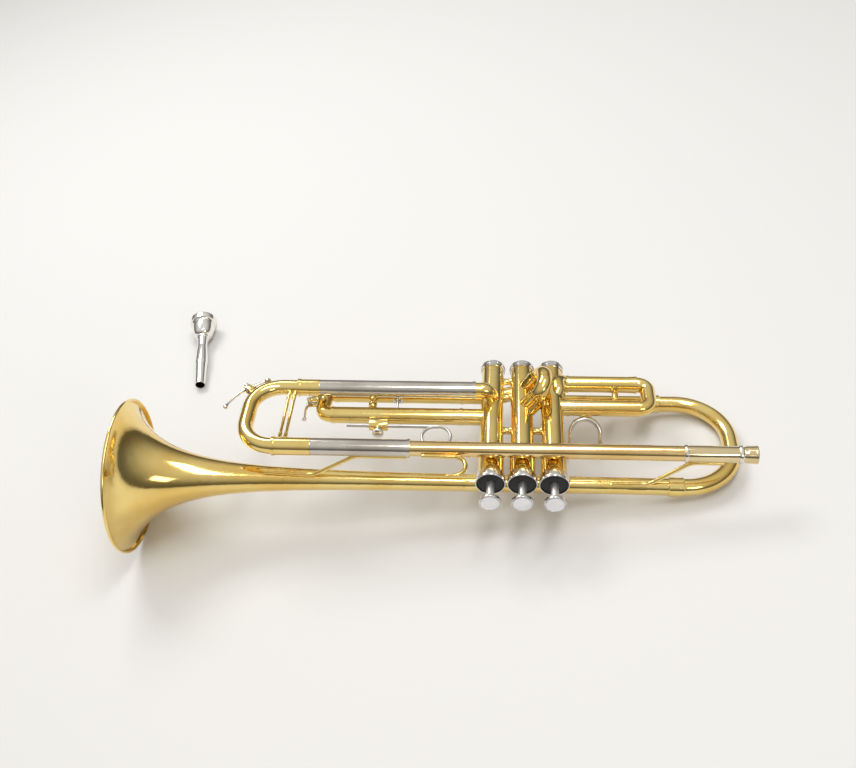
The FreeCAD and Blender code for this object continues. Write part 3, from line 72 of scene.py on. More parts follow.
# Bell: a horn of thin yellow brass, beaten and spun over a mandrel, with a wire rolled into its rim. It is
# buffed bright and sprayed with clear gold lacquer. The same brass and lacquer go on most of the tubing, so
# the finish and the way to mix one are worked out here.
class Value:
    """A socket of a node tree, with Python's operators for its sums."""

    def __init__(self, tree, socket):
        self.tree = tree
        self.socket = socket

    def math(self, operation, other):
        return self.tree.add("ShaderNodeMath", {"operation": operation}, {0: self, 1: other})

    def __add__(self, other):
        return self.math("ADD", other)

    def __mul__(self, other):
        return self.math("MULTIPLY", other)

    def __rsub__(self, other):
        return self * -1 + other

    __radd__ = __add__
    __rmul__ = __mul__


class Tree:
    """A node tree under construction."""

    def __init__(self, tree):
        self.tree = tree

    def plug(self, socket, value):
        """Link a value to a socket, or set a number or a colour on it."""
        if isinstance(value, Value):
            self.tree.links.new(value.socket, socket)
        elif socket.type == "RGBA":
            socket.default_value = (*value, 1)
        else:
            socket.default_value = value

    def add(self, kind, settings=None, inputs=None, output=0):
        """One node: its type, settings, values or links of its sockets, and which output is used."""
        node = self.tree.nodes.new(kind)
        for name, value in (settings or {}).items():
            setattr(node, name, value)
        for slot, value in (inputs or {}).items():
            self.plug(node.inputs[slot], value)
        return Value(self, node.outputs[output])


class Finish(Tree):
    """A material under construction, with its shader and its place on the object."""

    def __init__(self, name):
        self.material = bpy.data.materials.new(name)
        self.material.use_nodes = True
        super().__init__(self.material.node_tree)
        self.shader = self.tree.nodes["Principled BSDF"]
        self.place = self.add("ShaderNodeTexCoord", output="Object")

    def noise(self, scale, detail, stretch=None):
        place = self.place
        if stretch:
            place = self.add("ShaderNodeVectorMath", {"operation": "MULTIPLY"}, {0: place, 1: stretch})
        return self.add("ShaderNodeTexNoise", None, {"Vector": place, "Scale": scale, "Detail": detail})

    def between(self, value, low, high):
        """A soft step from 0 below low to 1 above high."""
        return self.add("ShaderNodeMapRange", {"interpolation_type": "SMOOTHSTEP"}, {
            "Value": value, "From Min": low, "From Max": high})

    def blend(self, share, first, second):
        """A mix of two colours; 6, 7 and output 2 are the node's colour sockets."""
        return self.add("ShaderNodeMix", {"data_type": "RGBA"}, {0: share, 6: first, 7: second}, 2)

    def bump(self, height, strength, distance):
        return self.add("ShaderNodeBump", None, {
            "Strength": strength, "Distance": distance, "Height": height})

    def shade(self, inputs):
        for name, value in inputs.items():
            self.plug(self.shader.inputs[name], value)
        return self.material


def polished(name, bright, deep, stain, shine, lacquer=0.0):
    """Buffed metal: clouded tone, faint stains, buffing lines along the tubes, lacquer if it has any."""
    finish = Finish(name)
    clouds = finish.noise(scale=26.0, detail=3.0)
    spots = finish.between(finish.noise(scale=95.0, detail=4.0), 0.63, 0.76)
    lines = finish.noise(scale=1.0, detail=2.0, stretch=(70.0, 1900.0, 1900.0))
    tone = finish.blend(finish.between(clouds, 0.35, 0.68), bright, deep)
    return finish.shade({
        "Base Color": finish.blend(spots * 0.35, tone, stain),
        "Metallic": 1.0,
        "Roughness": shine + 0.035 * clouds + 0.10 * spots + 0.02 * lines,
        "Coat Weight": lacquer,
        "Coat Roughness": 0.03,
        "Normal": finish.bump(lines + 2.0 * clouds, strength=0.035, distance=0.0004),
    })


def coat(material, *names):
    """Put a finish on pieces that are right as they came."""
    for name in names:
        nodes[name].data.materials.clear()
        nodes[name].data.materials.append(material)


yellow_brass = polished("yellow_brass", bright=(0.90, 0.69, 0.25), deep=(0.82, 0.56, 0.15),
                        stain=(0.48, 0.26, 0.07), shine=0.085, lacquer=0.5)
coat(yellow_brass, "bell")

# Bell bow: the same tubing bent round a form, joined to the bell by a turned ferrule and soldered through
# its lower branch into the first valve.
coat(yellow_brass, "bell_bow", "bow_ferrules", "bell_branch")

# Valve casings: three brass cylinders, held side by side by turned posts and by the knuckles that carry the
# air from one to the next, and stayed to the bell. All of it is lacquered as one. The whole instrument is
# laid out from the second casing, so its axes are set up here.
casings = [f"valve_casing_{number}" for number in (1, 2, 3)]
coat(yellow_brass, *casings, "casing_posts", "valve_knuckles", "bell_stays", "slide_stubs")

# In millimetres, X runs along the tubes to the player, Y down the valves and Z to the player's right, from
# the middle of the second casing. The frame itself starts at the mouth of the mouthpiece receiver.
rearward, downward, sideways = Vector((1, 0, 0)), Vector((0, 1, 0)), Vector((0, 0, 1))
lead_y, lead_z = -46.4, 16.2
receiver_mouth = Vector((173.2, lead_y, lead_z))
slide_way = Vector(next(joint["axis"] for joint in frame["joints"] if joint["name"] == "first_slide_pull"))
lay = Matrix((slide_way, downward, slide_way.cross(downward))).transposed().to_4x4()
lay = lay @ Matrix.Scale(0.001, 4) @ Matrix.Translation(-receiver_mouth)

valve_centres = []
for casing in casings:
    along = [(lay.inverted() @ vertex.co).x for vertex in nodes[casing].data.vertices]
    valve_centres.append(round((min(along) + max(along)) / 2, 2))

# Leadpipe: a seamless pipe of redder brass, drawn over a mandrel so that it narrows inside towards the
# player. It is soldered into the mouthpiece receiver behind and into the tuning slide's sleeve in front.
red_brass = polished("red_brass", bright=(0.82, 0.60, 0.27), deep=(0.73, 0.49, 0.18),
                     stain=(0.42, 0.23, 0.08), shine=0.09, lacquer=0.5)
coat(red_brass, "leadpipe")


# Mouthpiece receiver: a turned socket of pale brass with a flared mouth, bored to the mouthpiece's taper
# and soldered over the leadpipe. Two nickel-plated rings are shrunk on it, and the rear one of the bell's
# braces lands on a thin pad under it.
def rounded(corners, steps=6):
    """The corners' line, with an arc at each; a corner's last number is the radius of its arc."""
    line = []
    spots = [Vector(corner[:-1]) for corner in corners]
    for i, here in enumerate(spots):
        radius = corners[i][-1]
        if not radius:
            line.append(here)
            continue
        back = (spots[i - 1] - here).normalized()
        on = (spots[(i + 1) % len(spots)] - here).normalized()
        half = back.angle(on) / 2
        centre = here + (back + on).normalized() * (radius / math.sin(half))
        start = here + back * (radius / math.tan(half)) - centre
        end = here + on * (radius / math.tan(half)) - centre
        for step in range(steps + 1):
            share = step / steps
            line.append(centre + (start * (1 - share) + end * share).normalized() * radius)
    return line


def smoothed(shape):
    """Smooth shading, but for edges sharper than 40 degrees."""
    shape.shade_smooth()
    shape.set_sharp_from_angle(angle=math.radians(40))
    return shape


def turned(outline, place=Matrix(), sides=72):
    """A piece off the lathe. Its corners are (height, radius, rounding), from axis to axis or all round."""
    line = rounded(outline)
    lathe = bmesh.new()
    points = [lathe.verts.new((spot.y, 0, spot.x)) for spot in line]
    edges = [lathe.edges.new(pair) for pair in zip(points, points[1:])]
    if line[0].y or line[-1].y:
        edges.append(lathe.edges.new((points[-1], points[0])))
    bmesh.ops.spin(lathe, geom=points + edges, cent=(0, 0, 0), axis=(0, 0, 1), dvec=(0, 0, 0),
                   angle=2 * math.pi, steps=sides, use_merge=True)
    bmesh.ops.remove_doubles(lathe, verts=lathe.verts, dist=0.0005)
    bmesh.ops.recalc_face_normals(lathe, faces=lathe.faces)
    shape = bpy.data.meshes.new("turned")
    lathe.to_mesh(shape)
    shape.transform(place)
    return smoothed(shape)


def stand(spot, way):
    """Where a turned piece stands: its axis leaves the spot that way."""
    return Matrix.Translation(spot) @ Vector(way).to_track_quat("Z", "Y").to_matrix().to_4x4()


def shape_of(maker):
    """The plain mesh that a curve or a modifier makes."""
    bpy.context.scene.collection.objects.link(maker)
    graph = bpy.context.evaluated_depsgraph_get()
    shape = bpy.data.meshes.new_from_object(maker.evaluated_get(graph))
    bpy.data.objects.remove(maker)
    return smoothed(shape)


def tube_plate(radius, thickness, half_length, half_angle):
    """A thin plate with rounded corners, bent round a tube that runs along X, facing +Y."""
    sheet = bmesh.new()
    rows = []
    steps_to_edge = 6
    corner_cut = 0.45
    for i in range(2 * steps_to_edge + 1):
        share = i / steps_to_edge - 1
        reach = half_length * math.sqrt(1 - corner_cut * abs(share) ** 4)
        angle = half_angle * share
        rows.append([sheet.verts.new((x * reach, radius * math.cos(angle), radius * math.sin(angle)))
                     for x in (-1, -0.6, -0.2, 0.2, 0.6, 1)])
    for low, high in zip(rows, rows[1:]):
        for a, b, c, d in zip(low, low[1:], high[1:], high):
            sheet.faces.new((a, b, c, d))
    bmesh.ops.recalc_face_normals(sheet, faces=sheet.faces)
    mesh = bpy.data.meshes.new("plate")
    sheet.to_mesh(mesh)
    maker = bpy.data.objects.new("plate", mesh)
    wall = maker.modifiers.new("wall", "SOLIDIFY")
    wall.thickness = thickness
    wall.offset = 0
    wall.use_even_offset = True
    edge = maker.modifiers.new("edge", "BEVEL")
    edge.width = thickness / 4
    edge.segments = 2
    edge.limit_method = "ANGLE"
    return shape_of(maker)


def astride(spot, turn):
    """Where a plate sits on a tube: a spot on the tube's axis, and its turn round that axis in degrees."""
    return Matrix.Translation(spot) @ Matrix.Rotation(math.radians(turn), 4, "X")


def piece(name, shapes, body, slot, *stands_for):
    """A finished piece: shapes with their materials, joined, laid down and hung on their body."""
    whole = bmesh.new()
    mesh = bpy.data.meshes.new(name)
    for index, (shape, material) in enumerate(shapes):
        shape.polygons.foreach_set("material_index", [index] * len(shape.polygons))
        whole.from_mesh(shape)
        mesh.materials.append(material)
    whole.to_mesh(mesh)
    mesh.transform(lay)
    made = bpy.data.objects.new(name, mesh)
    bpy.context.scene.collection.objects.link(made)
    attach(made, body)
    if stands_for:
        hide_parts(*stands_for)


pale_brass = polished("pale_brass", bright=(0.80, 0.66, 0.38), deep=(0.70, 0.53, 0.26),
                      stain=(0.42, 0.28, 0.13), shine=0.09, lacquer=0.4)
nickel_plate = polished("nickel_plate", bright=(0.80, 0.78, 0.75), deep=(0.68, 0.66, 0.63),
                        stain=(0.45, 0.42, 0.38), shine=0.09)
length, girth = 53.3, 6.3
pipe_bore, pipe_stop = 5.93, 20.03
throat, taper_end = 4.6, 26.3
at_front = stand(receiver_mouth - length * rearward, rearward)
socket = turned([
    (0.3, pipe_bore, 0), (0.3, girth, 0), (42.0, girth, 0), (43.2, 5.95, 1.2), (46.0, 6.6, 2.5),
    (51.8, 6.75, 3.0), (52.5, 7.05, 0.3), (length, 6.9, 0.25), (length, 5.55, 0.2),
    (taper_end, 4.88, 0), (taper_end, throat, 0), (pipe_stop, throat, 0), (pipe_stop, pipe_bore, 0),
], at_front)


def domed_ring(front, rear, bore, side, crown, shoulder, rounding):
    """A ring shrunk on the socket; its shoulders rise from the side's radius to the crown's."""
    return turned([(front, bore, 0), (front, side, 0), (front + shoulder, crown, rounding),
                   (rear - shoulder, crown, rounding), (rear, side, 0), (rear, bore, 0)], at_front)


ring = domed_ring(0, 2.4, pipe_bore, side=6.7, crown=7.0, shoulder=0.5, rounding=0.3)
band = domed_ring(39.6, 42.4, 6.1, side=6.8, crown=7.15, shoulder=0.6, rounding=0.35)
pad = tube_plate(radius=6.62, thickness=0.72, half_length=12.5, half_angle=0.26)
pad.transform(astride(receiver_mouth - 35.2 * rearward, -99.6))
piece("ringed_receiver",
      [(socket, pale_brass), (ring, nickel_plate), (band, nickel_plate), (pad, pale_brass)],
      "horn", "nickel", "mouthpiece_receiver")

# Bell braces: two brass rods, each bent by hand to lie along the bell at one end and along the leadpipe at
# the other. The ends lie close to their tubes and are soldered down.
coat(yellow_brass, "bell_braces")


# Finger hook: a bent brass rod for the right little finger, soldered along the front of the leadpipe.
# It is thickest through the bend, rounded at its foot and drawn out to a slim end.
def mark_before(marks, run):
    """Which mark comes last before the run, or at it; the very last mark doesn't count."""
    hair = 1e-9
    return min(max(i for i, mark in enumerate(marks) if mark <= run + hair), len(marks) - 2)


def bent_rod(corners, girths):
    """A rod along rounded corners; girths are (share of the length, radius) from its first end on."""
    line = rounded(corners, steps=10)
    runs = [0.0]
    for before, spot in zip(line, line[1:]):
        runs.append(runs[-1] + (spot - before).length)
    shares = [share for share, radius in girths]
    stations = sorted({run / runs[-1] for run in runs} | set(shares))
    curve = bpy.data.curves.new("rod", "CURVE")
    curve.dimensions = "3D"
    curve.bevel_depth = 1.0
    curve.bevel_resolution = 5
    curve.use_fill_caps = True
    spline = curve.splines.new("POLY")
    spline.points.add(len(stations) - 1)
    for point, station in zip(spline.points, stations):
        run = station * runs[-1]
        i = mark_before(runs, run)
        spot = line[i].lerp(line[i + 1], (run - runs[i]) / (runs[i + 1] - runs[i]))
        j = mark_before(shares, station)
        (low, thin), (high, thick) = girths[j], girths[j + 1]
        point.co = (*spot, 1)
        point.radius = thin + (thick - thin) * (station - low) / (high - low)
    return shape_of(bpy.data.objects.new("rod", curve))


hook_y, hook_rear, hook_bend = -54.13, -42.6, 8.9
hook = bent_rod([
    (-76.5, hook_y, lead_z, 0), (hook_rear, hook_y, lead_z, hook_bend),
    (hook_rear, hook_y - 18, lead_z, hook_bend), (-57.2, hook_y - 19.6, lead_z, 0),
], [(0, 0.7), (0.015, 1.35), (0.05, 1.7), (0.7, 1.8), (0.85, 1.6), (0.97, 1.0), (1, 0.4)])
piece("little_finger_hook", [(hook, yellow_brass)], "horn", "lacquered_brass", "finger_hook")

# Main tuning slide: a brass crook with ferrules, soldered on two drawn nickel-silver legs. They run in
# sleeves of the same metal, buffed but not lacquered, one on the leadpipe and one at the third valve.
nickel_silver = polished("nickel_silver", bright=(0.66, 0.62, 0.55), deep=(0.52, 0.47, 0.41),
                         stain=(0.34, 0.29, 0.24), shine=0.12)
coat(nickel_silver, "leadpipe_sleeve", "valve_sleeve", "tuning_slide_legs")
coat(yellow_brass, "tuning_slide_crook", "tuning_slide_ferrules", "inlet_elbow")


# Slide brace: two slim brass rods that stiffen the crook, each pushed into a flanged socket at both ends
# and soldered there.
def mirrored(half, length=0):
    """The whole outline of a symmetric piece from its first half; heights count from its foot, or from
    its middle where no length is given."""
    return half + [(length - height, radius, rounding) for height, radius, rounding in reversed(half)]


brace_low, brace_high = -39.5, 12.9
brace = mirrored([
    (-0.8, 0, 0), (-0.8, 2.15, 0), (0.5, 2.15, 0.3), (0.9, 1.8, 0), (6.6, 1.65, 0.4), (7.2, 1.3, 0),
], brace_high - brace_low)
rods = [turned(brace, stand((x, brace_low, lead_z), downward), 40) for x in (-186.8, -182.4)]
piece("slide_brace_rods", [(rod, yellow_brass) for rod in rods], "tuning_slide", "lacquered_brass",
      "tuning_slide_brace")

# First slide: nickel-silver inner tubes soldered to the valve, with a brass slide pushed over them.
# A turned post ties its two tubes together, one nearer to the finger buttons and one farther from them.
coat(nickel_silver, "slide_inner_tubes")
coat(yellow_brass, "first_slide_tubes", "first_slide_crook", "first_slide_post")
first_near_y, first_far_y = 17.4, 45.3

# Slide elbow: the first valve's port lies nearer to the buttons than the slide's far tube, so a short bent
# tube leads from one to the other over the casing's flank. It is mitred to the casing and soldered.
elbow = bent_rod([
    (37.9, first_far_y, 0, 0), (35.4, first_far_y, 0, 3.0), (28.2, 44.9, 5.6, 7.6),
    (29.6, 28.5, 5.0, 7.5), (valve_centres[0], 25.0, 0, 0),
], [(0, 6.5), (1, 6.3)])
mitre_radius, mitre_reach = 9.6, 70
casing_space = turned(mirrored([(-mitre_reach, 0, 0), (-mitre_reach, mitre_radius, 0)]),
                      stand((valve_centres[0], 0, 0), downward), 96)
casing_cutter = bpy.data.objects.new("casing_cutter", casing_space)
bpy.context.scene.collection.objects.link(casing_cutter)
elbow_maker = bpy.data.objects.new("elbow", elbow)
mitre = elbow_maker.modifiers.new("mitre", "BOOLEAN")
mitre.object = casing_cutter
mitre.operation = "DIFFERENCE"
mitre.solver = "EXACT"
elbow = shape_of(elbow_maker)
bpy.data.objects.remove(casing_cutter)
piece("first_slide_elbow", [(elbow, yellow_brass)], "horn", "lacquered_brass")

# Thumb saddle: a horseshoe of nickel rod for the left thumb, thicker at its crown, its ends spread a
# little. It is soldered to a thin brass plate that follows the slide's near tube.
on_near_tube = astride((50.8, first_near_y, 0), 227)
crown, reach = 9.1, 34.0
leg = [(13.9, reach, 0), (12.0, reach - 7, 9), (12.4, crown, 12.0)]
leg_girths = [(0, 0.6), (0.012, 1.35), (0.03, 1.7), (0.2, 1.7), (0.36, 2.15)]
saddle = bent_rod(
    [(-x, y, 0, bend) for x, y, bend in leg] + [(x, y, 0, bend) for x, y, bend in reversed(leg)],
    leg_girths + [(1 - share, radius) for share, radius in reversed(leg_girths)],
)
seat = tube_plate(radius=6.95, thickness=0.5, half_length=5.0, half_angle=0.33)
for shape in (saddle, seat):
    shape.transform(on_near_tube)
piece("thumb_saddle_horseshoe", [(saddle, nickel_plate), (seat, yellow_brass)],
      "first_slide", "nickel_parts", "thumb_saddle")

# Second slide: a short brass crook square to the valves, on two nickel-silver legs. They run in a pair of
# fixed brass tubes that are soldered to the second valve.
coat(yellow_brass, "second_slide_tubes", "second_slide_crook")
coat(nickel_silver, "second_slide_legs")

# Third slide: a long brass slide that runs over two nickel-silver inner tubes, as the first slide does.
# A fat turned post ties its tubes together near their front.
coat(yellow_brass, "third_slide_tubes", "third_slide_crook", "third_slide_post")
third_near_y, third_far_y = 4.6, 29.0

# Slide stay: a small turned nickel post that holds the third slide's tubes apart, flared at its far end
# to land on a thin foot that follows the tube, and soldered at both ends.
stay_x = -100.76
foot = tube_plate(radius=6.93, thickness=0.4, half_length=4.2, half_angle=0.62)
foot.transform(astride((stay_x, third_far_y, 0), 180))
stem = turned([(10.7, 0, 0), (10.7, 1.8, 0), (11.7, 1.7, 0.3), (12.6, 0.95, 0.4), (18.5, 0.9, 0),
               (21.6, 2.2, 1.2), (22.6, 2.2, 0), (22.6, 0, 0)], stand((stay_x, 0, 0), downward), 32)
piece("slide_stay_post", [(stem, nickel_plate), (foot, nickel_plate)], "third_slide", "nickel_parts",
      "third_slide_stay")

# Finger ring: a nickel rod with a wire ring at its end. The rod is drawn and left satin, so that it slides
# and grips.
satin_nickel = polished("satin_nickel", bright=(0.62, 0.61, 0.59), deep=(0.54, 0.53, 0.51),
                        stain=(0.40, 0.38, 0.35), shine=0.3)
coat(satin_nickel, "finger_ring")
ring_rod_y = -6.6


# Ring clamp: a brass block, round where it is bored for the ring's rod, on a thin foot that is soldered to
# the third slide's near tube. A flat boss in front takes the clamp screw.
def slab(corners, low, high, rounding):
    """A flat plate of that outline between two heights, its edges eased."""
    plate = bmesh.new()
    face = plate.faces.new([plate.verts.new((spot.x, spot.y, low)) for spot in rounded(corners)])
    top = bmesh.ops.extrude_face_region(plate, geom=[face])
    raised = [item for item in top["geom"] if isinstance(item, bmesh.types.BMVert)]
    bmesh.ops.translate(plate, vec=(0, 0, high - low), verts=raised)
    bmesh.ops.recalc_face_normals(plate, faces=plate.faces)
    mesh = bpy.data.meshes.new("slab")
    plate.to_mesh(mesh)
    maker = bpy.data.objects.new("slab", mesh)
    edge = maker.modifiers.new("edge", "BEVEL")
    edge.width = rounding
    edge.segments = 2
    edge.limit_method = "ANGLE"
    edge.angle_limit = math.radians(50)
    return shape_of(maker)


clamp_spot = Vector((-113.96, ring_rod_y, 0))
to_front = stand(clamp_spot, -downward)
heel, nose, nose_round, half_length = -6.3, 4.2, 4.1, 7.5
block = slab([(heel, -nose, 0), (nose, -nose, nose_round), (nose, nose, nose_round), (heel, nose, 0)],
             -half_length, half_length, 0.45)
nose_up = Matrix((-downward, sideways, -rearward)).transposed().to_4x4()
block.transform(Matrix.Translation(clamp_spot) @ nose_up)
boss = turned([(3.6, 0, 0), (3.6, 3.3, 0), (4.4, 3.3, 0.25), (4.4, 0, 0)], to_front, 40)
foot = tube_plate(radius=6.95, thickness=0.5, half_length=half_length, half_angle=0.66)
foot.transform(astride((clamp_spot.x, third_near_y, 0), 180))
piece("ring_clamp_block", [(shape, yellow_brass) for shape in (block, boss, foot)], "third_slide",
      "lacquered_brass", "ring_clamp")


# Clamp screw: a turned nickel thumb screw with a milled edge and a slot across its domed head.
# It passes through the block and pinches the ring's rod.
class Recipe(Tree):
    """Geometry nodes that make a piece. Its sizes are named inputs, given when the piece is made."""

    kinds = {int: "NodeSocketInt", float: "NodeSocketFloat", tuple: "NodeSocketVector",
             bpy.types.Material: "NodeSocketMaterial"}

    def __init__(self, name, **sizes):
        super().__init__(bpy.data.node_groups.new(name, "GeometryNodeTree"))
        self.sizes = sizes
        sockets = self.tree.interface
        sockets.new_socket("blank", in_out="INPUT", socket_type="NodeSocketGeometry")
        for size, value in sizes.items():
            sockets.new_socket(size, in_out="INPUT", socket_type=self.kinds[type(value)])
        sockets.new_socket("piece", in_out="OUTPUT", socket_type="NodeSocketGeometry")
        self.start = self.tree.nodes.new("NodeGroupInput")
        self.end = self.tree.nodes.new("NodeGroupOutput")

    def size(self, name):
        return Value(self, self.start.outputs[name])

    def vector(self, x=0.0, y=0.0, z=0.0):
        return self.add("ShaderNodeCombineXYZ", None, {0: x, 1: y, 2: z})

    def moved(self, shape, vector):
        return self.add("GeometryNodeTransform", None, {0: shape, "Translation": vector})

    def scaled(self, shape, vector):
        return self.add("GeometryNodeTransform", None, {0: shape, "Scale": vector})

    def cut(self, shape, cutter):
        return self.add("GeometryNodeMeshBoolean", {"operation": "DIFFERENCE"},
                        {"Mesh 1": shape, "Mesh 2": cutter})

    def join(self, *shapes):
        joined = self.tree.nodes.new("GeometryNodeJoinGeometry")
        for shape in shapes:
            self.tree.links.new(shape.socket, joined.inputs[0])
        return Value(self, joined.outputs[0])

    def make(self, shape, blank=None):
        """Close the recipe on its last shape and run it on a blank; the result is a plain mesh."""
        real = self.add("GeometryNodeRealizeInstances", None, {0: shape})
        done = self.add("GeometryNodeSetMaterial", None, {0: real, "Material": self.size("metal")})
        self.plug(self.end.inputs[0], done)
        maker = bpy.data.objects.new("maker", blank or bpy.data.meshes.new("blank"))
        recipe = maker.modifiers.new("recipe", "NODES")
        recipe.node_group = self.tree
        for socket in self.tree.interface.items_tree:
            if socket.in_out == "INPUT" and socket.name in self.sizes:
                recipe[socket.identifier] = self.sizes[socket.name]
        return shape_of(maker)


def milled_head(blank, **sizes):
    """A turned head, slotted across its top and with ribs round its edge."""
    recipe = Recipe("milled_head", **sizes)
    size = recipe.size
    cutter = recipe.add("GeometryNodeMeshCube", None, {
        "Size": recipe.vector(size("edge") * 4, size("slot"), size("depth") * 2)})
    slotted = recipe.cut(size("blank"), recipe.moved(cutter, recipe.vector(z=size("top"))))
    rib = recipe.add("GeometryNodeMeshUVSphere", None, {"Segments": 8, "Rings": 6, "Radius": 1.0})
    rib = recipe.scaled(rib, recipe.vector(size("rib"), size("rib"), size("rib_height")))
    ring = recipe.add("GeometryNodeMeshCircle", None, {"Vertices": size("ribs"), "Radius": size("edge")})
    ring = recipe.moved(ring, recipe.vector(z=size("middle")))
    ribs = recipe.add("GeometryNodeInstanceOnPoints", None, {"Points": ring, "Instance": rib})
    return recipe.make(recipe.join(slotted, ribs), blank)


edge, top = 4.5, 10.6
head = turned([
    (1.8, 0, 0), (1.8, 1.25, 0), (4.5, 1.25, 0), (4.5, 2.6, 0.2), (7.0, 2.3, 0.3), (7.2, edge, 0.3),
    (9.5, edge, 0.5), (10.4, 2.6, 1.4), (top, 0, 0),
], sides=64)
screw = milled_head(head, edge=edge, ribs=30, rib=0.28, rib_height=1.05, middle=8.35,
                    slot=0.9, depth=0.9, top=top, metal=nickel_plate)
screw.transform(to_front)
piece("clamp_thumb_screw", [(screw, nickel_plate)], "ring_screw", "nickel_parts", "clamp_screw")


# Water keys: on each crook a brass saddle carries a nickel lever on a pin with slotted heads. Two coil
# springs round its hub hold a cork in the lever's cup against the drain, and pressing the pear-shaped tip
# opens it.
def coil_spring(**sizes):
    """A torsion spring round Z, with a leg at each end."""
    recipe = Recipe("coil_spring", **sizes)
    size = recipe.size
    half = size("height") * 0.5
    helix = recipe.add("GeometryNodeCurveSpiral", None, {
        "Resolution": 24, "Rotations": size("turns"), "Start Radius": size("radius"),
        "End Radius": size("radius"), "Height": size("height")})
    lines = [recipe.moved(helix, recipe.vector(z=half * -1))]
    for leg, side in (("fixed_leg", -1), ("lever_leg", 1)):
        root = recipe.vector(x=size("radius"), z=half * side)
        lines.append(recipe.add("GeometryNodeCurvePrimitiveLine", None, {"Start": root, "End": size(leg)}))
    wire = recipe.add("GeometryNodeCurvePrimitiveCircle", None, {"Resolution": 8, "Radius": size("wire")})
    return recipe.make(recipe.add("GeometryNodeCurveToMesh", None, {
        "Curve": recipe.join(*lines), "Profile Curve": wire, "Fill Caps": True}))


def pin_heads(**sizes):
    """The two slotted, domed ends of a pin along Z."""
    recipe = Recipe("pin_heads", **sizes)
    size = recipe.size
    flattening, slot_height = 0.55, 0.6
    dome = recipe.add("GeometryNodeMeshUVSphere", None, {
        "Segments": 20, "Rings": 12, "Radius": size("radius")})
    dome = recipe.scaled(dome, (1.0, 1.0, flattening))
    cutter = recipe.add("GeometryNodeMeshCube", None, {
        "Size": recipe.vector(size("radius") * 4, size("slot"), size("radius") * slot_height)})
    head = recipe.cut(dome, recipe.moved(cutter, recipe.vector(z=size("radius") * flattening)))
    ends = recipe.add("GeometryNodeMeshLine", None, {
        "Count": 2, "Start Location": recipe.vector(z=size("span") * -0.5),
        "Offset": recipe.vector(z=size("span"))})
    index = recipe.add("GeometryNodeInputIndex")
    first_over = recipe.vector(x=(1 - index) * math.pi)
    way = recipe.add("FunctionNodeEulerToRotation", None, {0: first_over})
    return recipe.make(recipe.add("GeometryNodeInstanceOnPoints", None, {
        "Points": ends, "Instance": head, "Rotation": way}))


def key_saddle(height, pivot, at_pivot, at_drain):
    """A foot with two ears and the drain's nipple, all of brass, and the nickel pin between the ears."""
    inside, outside = 2.62, 3.68
    root = -height - 1.2
    ear = [(root, -2.8, 0), (2.0, -2.0, 1.9), (2.0, 2.0, 1.9), (root, 2.8, 0)]
    ears = [slab(ear, low, high, 0.2) for low, high in ((-outside, -inside), (inside, outside))]
    root, top = -height - 1.6, -height + 0.7
    sole = [(root, -3.3, 0), (top, -3.3, 0.5), (top, 3.3, 0.5), (root, 3.3, 0)]
    foot = slab(sole, -outside, outside, 0.3)
    for shape in (*ears, foot):
        shape.transform(at_pivot)
    nipple = turned([
        (-1, 0.9, 0), (-1, 1.9, 0), (1.4, 1.9, 0), (2.0, 1.75, 0.2), (2.0, 0.9, 0.1),
    ], at_drain, 40)
    pin = turned(mirrored([(-3.9, 0, 0), (-3.9, 0.78, 0)]), Matrix.Translation(pivot), 24)
    heads = pin_heads(radius=2.0, slot=0.5, span=7.5, metal=nickel_plate)
    heads.transform(Matrix.Translation(pivot))
    brass = [(shape, yellow_brass) for shape in (*ears, foot, nipple)]
    return brass + [(pin, nickel_plate), (heads, nickel_plate)]


def key_lever(pivot, end, sway, up, drain, at_cup):
    """A hub on the pin, a swayed lever with a pear-shaped tip, and a bent arm to the cup over the cork."""
    hub = turned(mirrored([
        (-2.5, 0.9, 0), (-2.5, 2.0, 0.12), (-2.2, 2.0, 0.12), (-2.2, 1.2, 0), (-0.55, 1.2, 0),
        (-0.55, 2.05, 0.2),
    ]), Matrix.Translation(pivot), 40)
    side = (end - pivot).normalized().cross(sideways)
    middle = pivot.lerp(end, 0.45) + side * sway
    beyond = end + (end - middle).normalized() * 1.2
    lever = bent_rod([(*pivot, 0), (*middle, 14), (*beyond, 0)], [
        (0, 1.5), (0.08, 1.45), (0.5, 1.05), (0.8, 0.85), (0.84, 1.1), (0.9, 1.75), (0.94, 2.0),
        (0.975, 1.7), (0.993, 0.9), (1, 0.3),
    ])
    cup = turned([
        (0.03, 0, 0), (0.03, 2.9, 0.15), (1.3, 2.9, 0.5), (1.9, 1.3, 0.6), (2.5, 1.2, 0.4), (2.6, 0, 0),
    ], at_cup, 48)
    over = at_cup.translation + drain * 2.0
    middle = pivot.lerp(over, 0.5) - up * 0.6
    arm = bent_rod([(*pivot, 0), (*middle, 9), (*over, 0)], [(0, 1.5), (0.3, 1.15), (0.8, 0.95), (1, 1.1)])
    return [(shape, nickel_plate) for shape in (hub, lever, cup, arm)]


